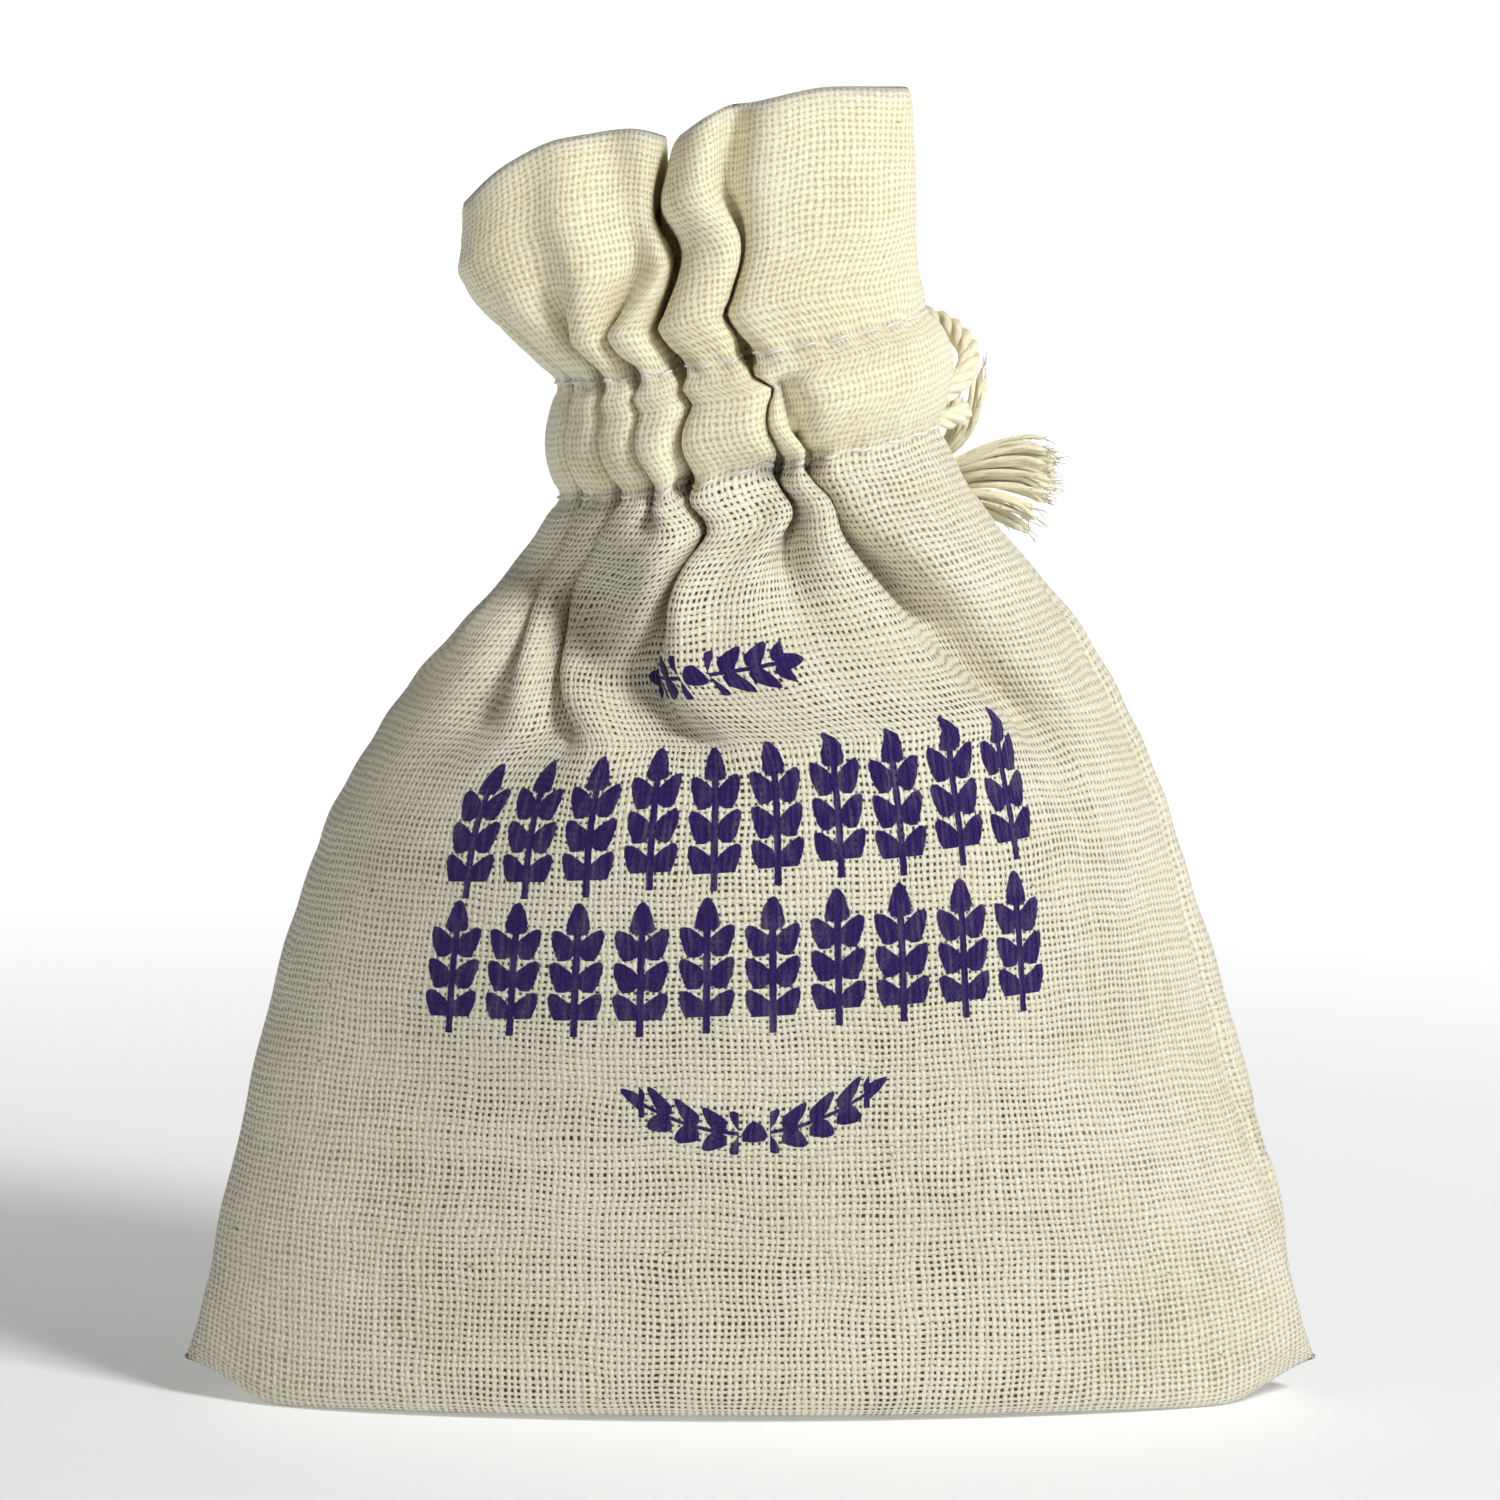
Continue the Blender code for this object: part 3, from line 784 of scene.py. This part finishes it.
def make_seams(grid, cloth, thread):
    """The seam allowances inside the pouch, and the overlock thread that binds their cut edges."""
    for name, column_at, inward in (("left", 0, 1.0), ("right", FRONT * FINE, -1.0)):
        line = grid[7 * FINE : 70 * FINE : FINE, column_at]
        rings = []
        near, far, half = FLANGE_START, FLANGE_WIDTH, FLANGE_HALF
        for x_in, y_off in ((near, half), (near, -half), (far, -half), (far, half)):
            rings.append(line + np.array((inward * x_in, y_off, 0.2)))
        rings = np.stack(rings, 1)
        faces = [(3, 2, 1, 0), tuple(4 * len(line) - 4 + k for k in range(4))]
        for r in range(len(line) - 1):
            for k in range(4):
                after = (k + 1) % 4
                faces.append((4 * r + k, 4 * r + after, 4 * r + 4 + after, 4 * r + 4 + k))
        flange = add_object(name + "_flange", add_mesh(name + "_flange", rings.reshape(-1, 3), faces))
        flange.data.materials.append(cloth)
        follow_cloth(flange)
        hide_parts(name + "_seam_allowance")
        along = np.arange(0, len(line) - 1, 0.2)
        at = np.stack([np.interp(along, np.arange(len(line)), line[:, k]) for k in range(3)], -1)
        beat = along * 2 * math.pi / EDGING_PITCH
        reach = FLANGE_WIDTH - 1.2 + 1.5 * np.sin(beat)
        at[:, 0] += inward * reach
        at[:, 1] += (FLANGE_HALF + 0.2) * np.cos(beat)
        edging = tubes(name + "_edging", [(at, round_ends(at, EDGING_RADIUS))], 6)
        edging.data.materials.append(thread)
        follow_cloth(edging)
        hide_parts(name + "_overlock_thread")


HERB_COLUMNS = 180
HERB_GAP = 2.2
# How much further the heap falls short of the cloth near the neck: height, gap
HERB_DROP = [(36, 0.0), (45, 3.0), (52, 8.0)]


def make_herbs(look):
    """The heap of dried herbs that fills the pouch: a closed, bumpy form just inside the cloth."""
    rows = np.arange(5.0, 63.0, 1.0)
    z, a, b, p = (column(SECTIONS, i, rows) for i in (1, 2, 3, 6))
    bumps = noise_field(len(rows), HERB_COLUMNS, 4, 21)
    rings = []
    turn = np.linspace(0, 2 * math.pi, HERB_COLUMNS, endpoint=False)
    for r in range(len(rows)):
        sunk = HERB_GAP + float(column(HERB_DROP, 1, z[r]))
        round_off = math.sqrt(max(0.02, 1 - max(0.0, (z[r] - 36) / 15.5) ** 2))
        half_width, half_depth = (a[r] - sunk - 1.5) * round_off, max(b[r] - sunk, 1.0) * round_off
        bumpy = 1 + 0.02 * bumps[r]
        x = half_width * np.cos(turn) * bumpy
        y = half_depth * np.sign(np.sin(turn)) * np.abs(np.sin(turn)) ** (2 * p[r]) * bumpy
        rings.append(np.stack([x, y, np.full_like(x, z[r] + 0.9)], -1))
    rings = np.array(rings)
    count, columns = len(rings), HERB_COLUMNS
    points = np.concatenate([rings.reshape(-1, 3), [rings[0].mean(0)], [rings[-1].mean(0)]])
    faces = []
    for j in range(columns):
        k = (j + 1) % columns
        faces.append((count * columns, k, j))
        top = (count - 1) * columns
        faces.append((count * columns + 1, top + j, top + k))
        for r in range(count - 1):
            faces.append((r * columns + j, r * columns + k, (r + 1) * columns + k, (r + 1) * columns + j))
    mesh = add_mesh("herbs", points, faces)
    mesh.shade_smooth()
    obj = add_object("herbs", mesh)
    dress(obj, "pouch", look)
    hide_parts("herb_fill")


# Camera: just above the table, square to the printed face; lengths in metres, the sensor in millimetres
SENSOR = 36
CAMERA_RISE = math.radians(8)
CAMERA_DISTANCE = 0.55
VIEW_WIDTH = 0.098
VIEW_CENTRE = 0.0428


def make_camera():
    data = bpy.data.cameras.new("camera")
    data.sensor_width = SENSOR
    data.lens = SENSOR * CAMERA_DISTANCE / VIEW_WIDTH
    data.clip_start = 0.01
    data.clip_end = 10
    camera = add_object("camera", data)
    back = Vector((0, -math.cos(CAMERA_RISE), math.sin(CAMERA_RISE)))
    camera.location = Vector((0, 0, VIEW_CENTRE)) + back * CAMERA_DISTANCE
    camera.rotation_euler = (-back).to_track_quat("-Z", "Y").to_euler()
    bpy.context.scene.camera = camera


class Wire:
    """A number in a shader graph: combining wires adds the Math nodes."""

    def __init__(self, tree, socket):
        self.tree = tree
        self.socket = socket

    def math(self, operation, *others, clamp=False):
        node = self.tree.nodes.new("ShaderNodeMath")
        node.operation = operation
        node.use_clamp = clamp
        for socket, value in zip(node.inputs, (self, *others)):
            feed(self.tree, socket, value)
        return Wire(self.tree, node.outputs[0])

    def __add__(self, other):
        return self.math("ADD", other)

    def __sub__(self, other):
        return self.math("SUBTRACT", other)

    def __mul__(self, other):
        return self.math("MULTIPLY", other)

    def __truediv__(self, other):
        return self.math("DIVIDE", other)

    def rsub(self, number):
        return (self * -1.0) + number

    def square(self):
        return self * self

    def abs(self):
        return self.math("ABSOLUTE")

    def fract(self):
        return self.math("FRACT")

    def floor(self):
        return self.math("FLOOR")

    def sin(self):
        return self.math("SINE")

    def max(self, other):
        return self.math("MAXIMUM", other)

    def min(self, other):
        return self.math("MINIMUM", other)

    def rise(self, start, width):
        """0 below start, 1 above start + width."""
        return (self - start).math("DIVIDE", width, clamp=True)


def feed(tree, socket, value):
    """Links a wire to the socket, or sets the socket to a number."""
    if isinstance(value, Wire):
        tree.links.new(value.socket, socket)
    else:
        socket.default_value = value


def joined(tree, x, y, z):
    join = tree.nodes.new("ShaderNodeCombineXYZ")
    for socket, value in zip(join.inputs, (x, y, z)):
        feed(tree, socket, value)
    return join.outputs[0]


def new_look(name, roughness, sheen=0.0):
    look = bpy.data.materials.new(name)
    look.use_nodes = True
    shader = look.node_tree.nodes["Principled BSDF"]
    shader.inputs["Roughness"].default_value = roughness
    shader.inputs["Specular IOR Level"].default_value = 0.25
    shader.inputs["Sheen Weight"].default_value = sheen
    shader.inputs["Sheen Roughness"].default_value = 0.5
    return look, look.node_tree, shader


def place_wires(tree, source, scale=1.0):
    """The three coordinates of a UV layer (by name) or of the object's own space."""
    if source == "object":
        out = tree.nodes.new("ShaderNodeTexCoord").outputs["Object"]
    else:
        node = tree.nodes.new("ShaderNodeUVMap")
        node.uv_map = source
        out = node.outputs[0]
    split = tree.nodes.new("ShaderNodeSeparateXYZ")
    tree.links.new(out, split.inputs[0])
    return [Wire(tree, socket) * scale for socket in split.outputs]


def noise(tree, x, y, z=0.0, detail=2.0):
    """Smooth noise about 0.5 of a place given in its own cells."""
    node = tree.nodes.new("ShaderNodeTexNoise")
    node.inputs["Scale"].default_value = 1.0
    node.inputs["Detail"].default_value = detail
    tree.links.new(joined(tree, x, y, z), node.inputs["Vector"])
    return Wire(tree, node.outputs[0])


def chance(tree, number, shift=0.0):
    """A random number in 0..1 for each whole number."""
    node = tree.nodes.new("ShaderNodeTexWhiteNoise")
    node.noise_dimensions = "1D"
    tree.links.new((number + shift).socket, node.inputs["W"])
    return Wire(tree, node.outputs["Value"])


def mixed(tree, amount, a, b):
    """The colour a where amount is 0 and b where it is 1."""
    node = tree.nodes.new("ShaderNodeMix")
    node.data_type = "RGBA"
    tree.links.new(amount.socket, node.inputs["Factor"])
    for socket, value in ((node.inputs[6], a), (node.inputs[7], b)):
        if isinstance(value, tuple):
            socket.default_value = (*value, 1)
        else:
            tree.links.new(value, socket)
    return node.outputs[2]


def bump(tree, shader, height, distance, strength=1.0):
    node = tree.nodes.new("ShaderNodeBump")
    node.inputs["Distance"].default_value = distance
    node.inputs["Strength"].default_value = strength
    tree.links.new(height.socket, node.inputs["Height"])
    tree.links.new(node.outputs[0], shader.inputs["Normal"])


# The muslin's threads, in millimetres
WARP_PITCH = 0.43
WEFT_PITCH = 0.47

# Linear colours
# The thread and doubled colours are the cotton's own tones; in the muslin their dark ends also carry painted
# shade on the threads' sides.
THREAD_LIGHT = (0.86, 0.83, 0.70)
THREAD_DARK = (0.58, 0.51, 0.33)
DOUBLED_LIGHT = (0.95, 0.91, 0.70)
DOUBLED_DARK = (0.66, 0.55, 0.31)
# The two gap colours are painted shade: the dark inside of the pouch seen through the gaps between the
# threads, and where the cloth is doubled, the inner layer darkened by painted shade.
GAP_SHADE = (0.035, 0.03, 0.014)
DOUBLED_GAP_SHADE = (0.55, 0.43, 0.22)
FLECK_COLOUR = (0.30, 0.17, 0.06)
INK_DARK = (0.011, 0.002, 0.070)
INK_LIGHT = (0.034, 0.011, 0.150)
# The cord colours are its own tones; in the twine the dark end also carries painted shade in the grooves of
# the twist.
CORD_LIGHT = (0.94, 0.90, 0.72)
CORD_DARK = (0.86, 0.78, 0.55)

# The print, in millimetres of cloth: rows of upright sprigs (first u, sprigs, base v), and two garlands
SPRIG_PITCH = 4.3
LEAF_STEP = 2.15
GARLAND_STEP = 1.75
SPRIG_ROWS = [(18.4, 10, 47.8), (18.0, 10, 38.2)]
PRINT_SLOPE = 0.05
GARLANDS = [(39.9, 61.2, 6.2, 0.0), (38.3, 30.2, 7.4, 0.045)]  # middle u, v, half length, upward curve


def leaf(p, q, place, lean, long, wide):
    """Above 0 inside a leaf shape set at place and leaning from upright."""
    cos, sin = math.cos(lean), math.sin(lean)
    dp, dq = p - place[0], q - place[1]
    along = (dp * sin + dq * cos) / long
    across = (dp * cos - dq * sin) / wide
    pointed = along.max(-0.8).min(1.2) * 0.9 + 1.0
    return (along.square() + across.square() * pointed).rsub(1.0)


def sprig(p, q):
    """Above 0 inside one upright sprig: paired leaves on a stem, with a bud on top."""
    side = p.abs()
    in_leaves = q.rise(0.15, 0.1) * (q - 6.4).rise(0, 0.1).rsub(1.0)
    local = (q / LEAF_STEP).fract() * LEAF_STEP
    pair = leaf(side, local, (1.02, 1.1), 0.62, 1.2, 0.72) - in_leaves.rsub(1.0) * 5.0
    bud = leaf(p, q, (0.0, 7.1), 0.0, 1.15, 0.74)
    stem = (side.rsub(0.27) * 3.0) - (q.rsub(-0.9).rise(0, 0.1) + q.rise(6.8, 0.1)) * 5.0
    return pair.max(bud).max(stem)


def printed(tree, u, v):
    """How much ink lies on the cloth at u, v."""
    best = None
    tilted = v - (u - FRONT / 2) * PRINT_SLOPE
    for first, count, base in SPRIG_ROWS:
        cell = (u - first + SPRIG_PITCH / 2) / SPRIG_PITCH
        index = cell.floor()
        p = (cell.fract() - 0.5) * SPRIG_PITCH
        q = tilted - base - (chance(tree, index, base) - 0.5) * 0.5
        outside = cell.rise(0, 0.01).rsub(1.0) + cell.rise(float(count), 0.01)
        shape = sprig(p, q) - outside * 5.0
        best = shape if best is None else best.max(shape)
    for middle, height, reach, curve in GARLANDS:
        p = u - middle
        q = tilted - height - p.square() * curve
        side = p.abs()
        local = (side / GARLAND_STEP).fract() * GARLAND_STEP
        pair = leaf(q.abs(), local, (0.80, 0.85), 0.75, 1.0, 0.54)
        stem = q.abs().rsub(0.16) * 4.0
        shape = pair.max(stem) - side.rise(reach, 0.05) * 5.0 - (side - 0.9).rise(0, 0.1).rsub(1.0) * 5.0
        best = best.max(shape).max(leaf(side, q, (reach + 0.4, 0.0), 1.57, 0.8, 0.5))
        best = best.max(leaf(p, q, (0.0, 0.1), 0.0, 0.75, 0.75))
    rough = noise(tree, u * 3.1, v * 3.1, 4.0)
    return (best + (rough - 0.5) * 0.55).rise(-0.02, 0.16) * v.rise(1.0, 1.0)


def muslin_look():
    """Plain-woven natural cotton: gaps between its threads dark with painted shade, painted shade on the
    threads' sides, slubs, flecks of seed and a violet print.
    """
    look, tree, shader = new_look("muslin", 0.92, 0.12)
    shader.inputs["Subsurface Scale"].default_value = 0.0016
    shader.inputs["Subsurface Radius"].default_value = (1.0, 0.85, 0.55)
    u, v, _ = place_wires(tree, "cloth_mm", 1 / (MM * CLOTH_UV))
    wander = noise(tree, u * 0.16, v * 0.16, 1.0)
    wander_v = noise(tree, u * 0.16, v * 0.16, 7.0)
    uneven = noise(tree, u * 1.1, v * 0.05, 3.0)
    uneven_v = noise(tree, u * 0.05, v * 1.0, 5.0)
    x = (u + (wander - 0.5) * 1.0 + (uneven - 0.5) * 0.3) / WARP_PITCH
    y = (v + (wander_v - 0.5) * 1.0 + (uneven_v - 0.5) * 0.3) / WEFT_PITCH
    from_warp = (x.fract() - 0.5).abs() * 2.0
    from_weft = (y.fract() - 0.5).abs() * 2.0
    over = (x * math.pi).sin() * (y * math.pi).sin()
    warp = from_warp.square().rsub(1.0) * (over * 0.26 + 0.72)
    weft = from_weft.square().rsub(1.0) * (over * -0.26 + 0.66)
    height = warp.max(weft)
    openness = noise(tree, u * 0.22, v * 0.22, 11.0)
    paired = ((x + 0.5).floor() * 0.5).fract()
    edge_x = (chance(tree, (x + 0.5).floor()) * -0.26 + 0.80) - (openness - 0.5) * 0.4 - paired * 0.36
    edge_y = (chance(tree, (y + 0.5).floor(), 50.0) * -0.3 + 0.74) - (openness - 0.5) * 0.4
    gap = (from_warp - edge_x).math("MULTIPLY", 5.0, clamp=True)
    gap = gap * (from_weft - edge_y).math("MULTIPLY", 5.0, clamp=True)
    # The painted shade in the gaps grows weaker towards the side seams.
    gap = gap * ((u - FRONT / 2).abs().rise(17.0, 17.0) * -0.75 + 1.0)
    slub = noise(tree, x * 0.9, v * 0.35, 13.0)
    slub_v = noise(tree, u * 0.35, y * 0.9, 17.0)
    on_top = over.rise(-0.3, 0.6)
    shade = (on_top * slub + on_top.rsub(1.0) * (slub_v - 0.08)) * 0.6 + 0.22
    # The height term is painted shade: each thread lighter on its crown and darker on its sides where it dips
    # under the next; the rest is the threads' own tone.
    shade = shade + (height - 0.55) * 0.7 + (noise(tree, u * 0.09, v * 0.09, 23.0) - 0.5) * 0.4
    amount = shade.rise(0.12, 0.62)
    doubled = v.abs().rise(LOWER_STITCH - 0.6, 1.2)
    tree.links.new((doubled * 0.3 + 0.22).socket, shader.inputs["Subsurface Weight"])
    light = mixed(tree, doubled, THREAD_LIGHT, DOUBLED_LIGHT)
    dark = mixed(tree, doubled, THREAD_DARK, DOUBLED_DARK)
    colour = mixed(tree, amount, dark, light)
    flecks = noise(tree, u * 0.9, v * 1.2, 31.0, detail=4.0).rise(0.715, 0.03)
    colour = mixed(tree, flecks * 0.75, colour, FLECK_COLOUR)
    ink = mixed(tree, noise(tree, u * 1.3, v * 1.3, 41.0), INK_DARK, INK_LIGHT)
    ink_on = printed(tree, u, v)
    # Painted shade: the gaps between the threads take the dark of the pouch's inside, or where doubled, the
    # inner layer in painted shade.
    behind = mixed(tree, doubled, GAP_SHADE, DOUBLED_GAP_SHADE)
    colour = mixed(tree, gap * (doubled * -0.45 + 0.95), colour, behind)
    colour = mixed(tree, ink_on * (slub * 0.3 + 0.84).min(1.0), colour, ink)
    tree.links.new(colour, shader.inputs["Base Color"])
    fuzz = noise(tree, u * 7.0, v * 7.0, 2.0, detail=3.0)
    relief = (height - gap * 0.9) * (doubled * -0.45 + 1.0)
    bump(tree, shader, relief + fuzz * 0.3, 0.00016, 0.9)
    return look


def thread_look(name, light, dark, twist, roughness=0.85):
    """Spun thread: fibres winding round it, with painted shade in the grooves between the windings, from a UV
    layer of turns round and centimetres along.
    """
    look, tree, shader = new_look(name, roughness, 0.25)
    around, along, _ = place_wires(tree, "thread")
    winding_and_groove_shade = ((along * twist + around * 2.0) * (2 * math.pi)).sin() * 0.5 + 0.5
    fibre = noise(tree, (around * 6.0 + along * twist * 6.0), along * 9.0, 3.0, detail=3.0)
    # The winding stripes paint shade into the grooves of the twist; the fibre noise is the thread's own tone.
    amount = (winding_and_groove_shade * 0.45 + fibre * 0.9).rise(0.2, 0.75)
    tree.links.new(mixed(tree, amount, dark, light), shader.inputs["Base Color"])
    bump(tree, shader, winding_and_groove_shade * 0.6 + fibre * 0.6, 0.00012, 0.8)
    return look


def plain_cotton_look(name, light, dark, cell):
    """Cotton on parts without a thread layer: fibres and small shade changes in the part's own space."""
    look, tree, shader = new_look(name, 0.9, 0.2)
    x, y, z = place_wires(tree, "object", 1000.0 / cell)
    fine = noise(tree, x * 3.0, y * 3.0, z * 3.0, detail=4.0)
    broad = noise(tree, x * 0.5, y * 0.5, z * 0.5)
    shade = (fine * 0.6 + broad * 0.5).rise(0.3, 0.5)
    tree.links.new(mixed(tree, shade, dark, light), shader.inputs["Base Color"])
    bump(tree, shader, fine, 0.00015, 0.7)
    return look


def herb_look():
    """Dried buds and leaf crumbs, each bud its own grey violet, green or straw."""
    look, tree, shader = new_look("dried_buds", 0.9)
    x, y, z = place_wires(tree, "object", 1000.0)
    cells = tree.nodes.new("ShaderNodeTexVoronoi")
    cells.inputs["Scale"].default_value = 0.55
    tree.links.new(joined(tree, x, y, z * 0.6), cells.inputs["Vector"])
    split = tree.nodes.new("ShaderNodeSeparateColor")
    tree.links.new(cells.outputs["Color"], split.inputs[0])
    kind, tone = Wire(tree, split.outputs[0]), Wire(tree, split.outputs[1])
    bud = mixed(tree, tone, (0.10, 0.08, 0.16), (0.24, 0.20, 0.30))
    crumb = mixed(tree, tone, (0.14, 0.15, 0.07), (0.36, 0.30, 0.16))
    tree.links.new(mixed(tree, kind.rise(0.55, 0.1), bud, crumb), shader.inputs["Base Color"])
    bump(tree, shader, Wire(tree, cells.outputs["Distance"]).rsub(1.0), 0.0008, 1.0)
    return look


def area_light(name, place, target, size, power, colour):
    data = bpy.data.lights.new(name, "AREA")
    data.size = size
    data.energy = power
    data.color = colour
    light = add_object(name, data)
    light.location = place
    light.rotation_euler = (Vector(target) - Vector(place)).to_track_quat("-Z", "Y").to_euler()


def make_studio():
    middle = (0, 0, 0.04)
    area_light("key", (0.43, -0.43, 0.53), middle, 0.18, 4.9, (1.0, 0.985, 0.945))
    area_light("fill", (-0.5, -0.6, 0.3), middle, 0.5, 0.08, (1.0, 0.98, 0.93))
    make_surround()
    bpy.context.scene.view_settings.view_transform = "Standard"


def make_surround():
    """A white surround that gives only a low, even light."""
    world = bpy.data.worlds.new("studio")
    world.use_nodes = True
    tree = world.node_tree
    background = tree.nodes["Background"]
    seen = Wire(tree, tree.nodes.new("ShaderNodeLightPath").outputs["Is Camera Ray"])
    tree.links.new((seen * 0.85 + 0.15).socket, background.inputs["Strength"])
    tree.links.new(mixed(tree, seen, (1.0, 0.97, 0.88), (1.0, 1.0, 1.0)), background.inputs["Color"])
    bpy.context.scene.world = world


FLOOR_SIZE = 6000.0


def make_floor():
    """A pale floor with painted light: it glows, more strongly away from the pouch and behind it, into the
    white surround.
    """
    look, tree, shader = new_look("floor", 0.8)
    shader.inputs["Base Color"].default_value = (0.89, 0.92, 0.97, 1)
    shader.inputs["Emission Color"].default_value = (1, 1, 1, 1)
    x, y, _ = place_wires(tree, "object")
    away = (x.square() + y.square()).math("SQRT")
    # Painted light: the floor glows though it is no lamp, weakly by the pouch, where it lightens the cast
    # shadow, and more strongly further away.
    glow = away.rise(0.12, 0.6) * 0.75 + (y + 0.02).rise(0.0, 0.3) * 0.4 + 0.2
    tree.links.new(glow.min(0.95).socket, shader.inputs["Emission Strength"])
    half = FLOOR_SIZE / 2
    corners = np.array([(-half, -half, 0), (half, -half, 0), (half, half, 0), (-half, half, 0)])
    floor = add_object("floor", add_mesh("floor", corners, [(0, 1, 2, 3)]))
    floor.data.materials.append(look)


# How much of the cloth's ripple each row has: v, share
RIPPLED = [(0, 0), (10, 0), (16, 1), (70, 1), (74, 0.4), (99, 1)]


def make_cloth(look):
    """The gathered pouch, sewn and hemmed; returns the fine grid of its outer face."""
    cloth = first_shape()
    normal = normals_of(cloth)
    rows = np.arange(cloth.shape[0])
    ripple = 0.30 * noise_field(*cloth.shape[:2], 9, 5) + 0.12 * noise_field(*cloth.shape[:2], 4, 8)
    ripple *= column(RIPPLED, 1, rows)[:, None]
    cloth += normal * ripple[..., None]
    outer = sew(cubic_refine(relax(cloth, RELAX_ROUNDS), FINE))
    obj = cloth_mesh("muslin", add_hem(outer))
    obj.data.materials.append(look)
    follow_cloth(obj)
    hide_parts("pouch_cloth", *[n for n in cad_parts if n.startswith(("casing", "heading"))])
    return outer


make_camera()
make_cords(thread_look("cotton_twine", CORD_LIGHT, CORD_DARK, 5.0))
outer_cloth = make_cloth(muslin_look())
# The white thread's grey is partly painted shade in the grooves of its twist, partly fibre tone.
white_thread = thread_look("white_thread", (0.92, 0.92, 0.90), (0.62, 0.62, 0.60), 9.0, 0.6)
make_stitches(outer_cloth, white_thread)
make_seams(outer_cloth, plain_cotton_look("cut_edge", THREAD_LIGHT, THREAD_DARK, 0.6), white_thread)
make_herbs(herb_look())
hidden_look = plain_cotton_look("hidden_cord", CORD_LIGHT, CORD_DARK, 0.5)
bpy.data.objects["drawcord_loop"].material_slots[0].material = hidden_look
make_studio()
make_floor()
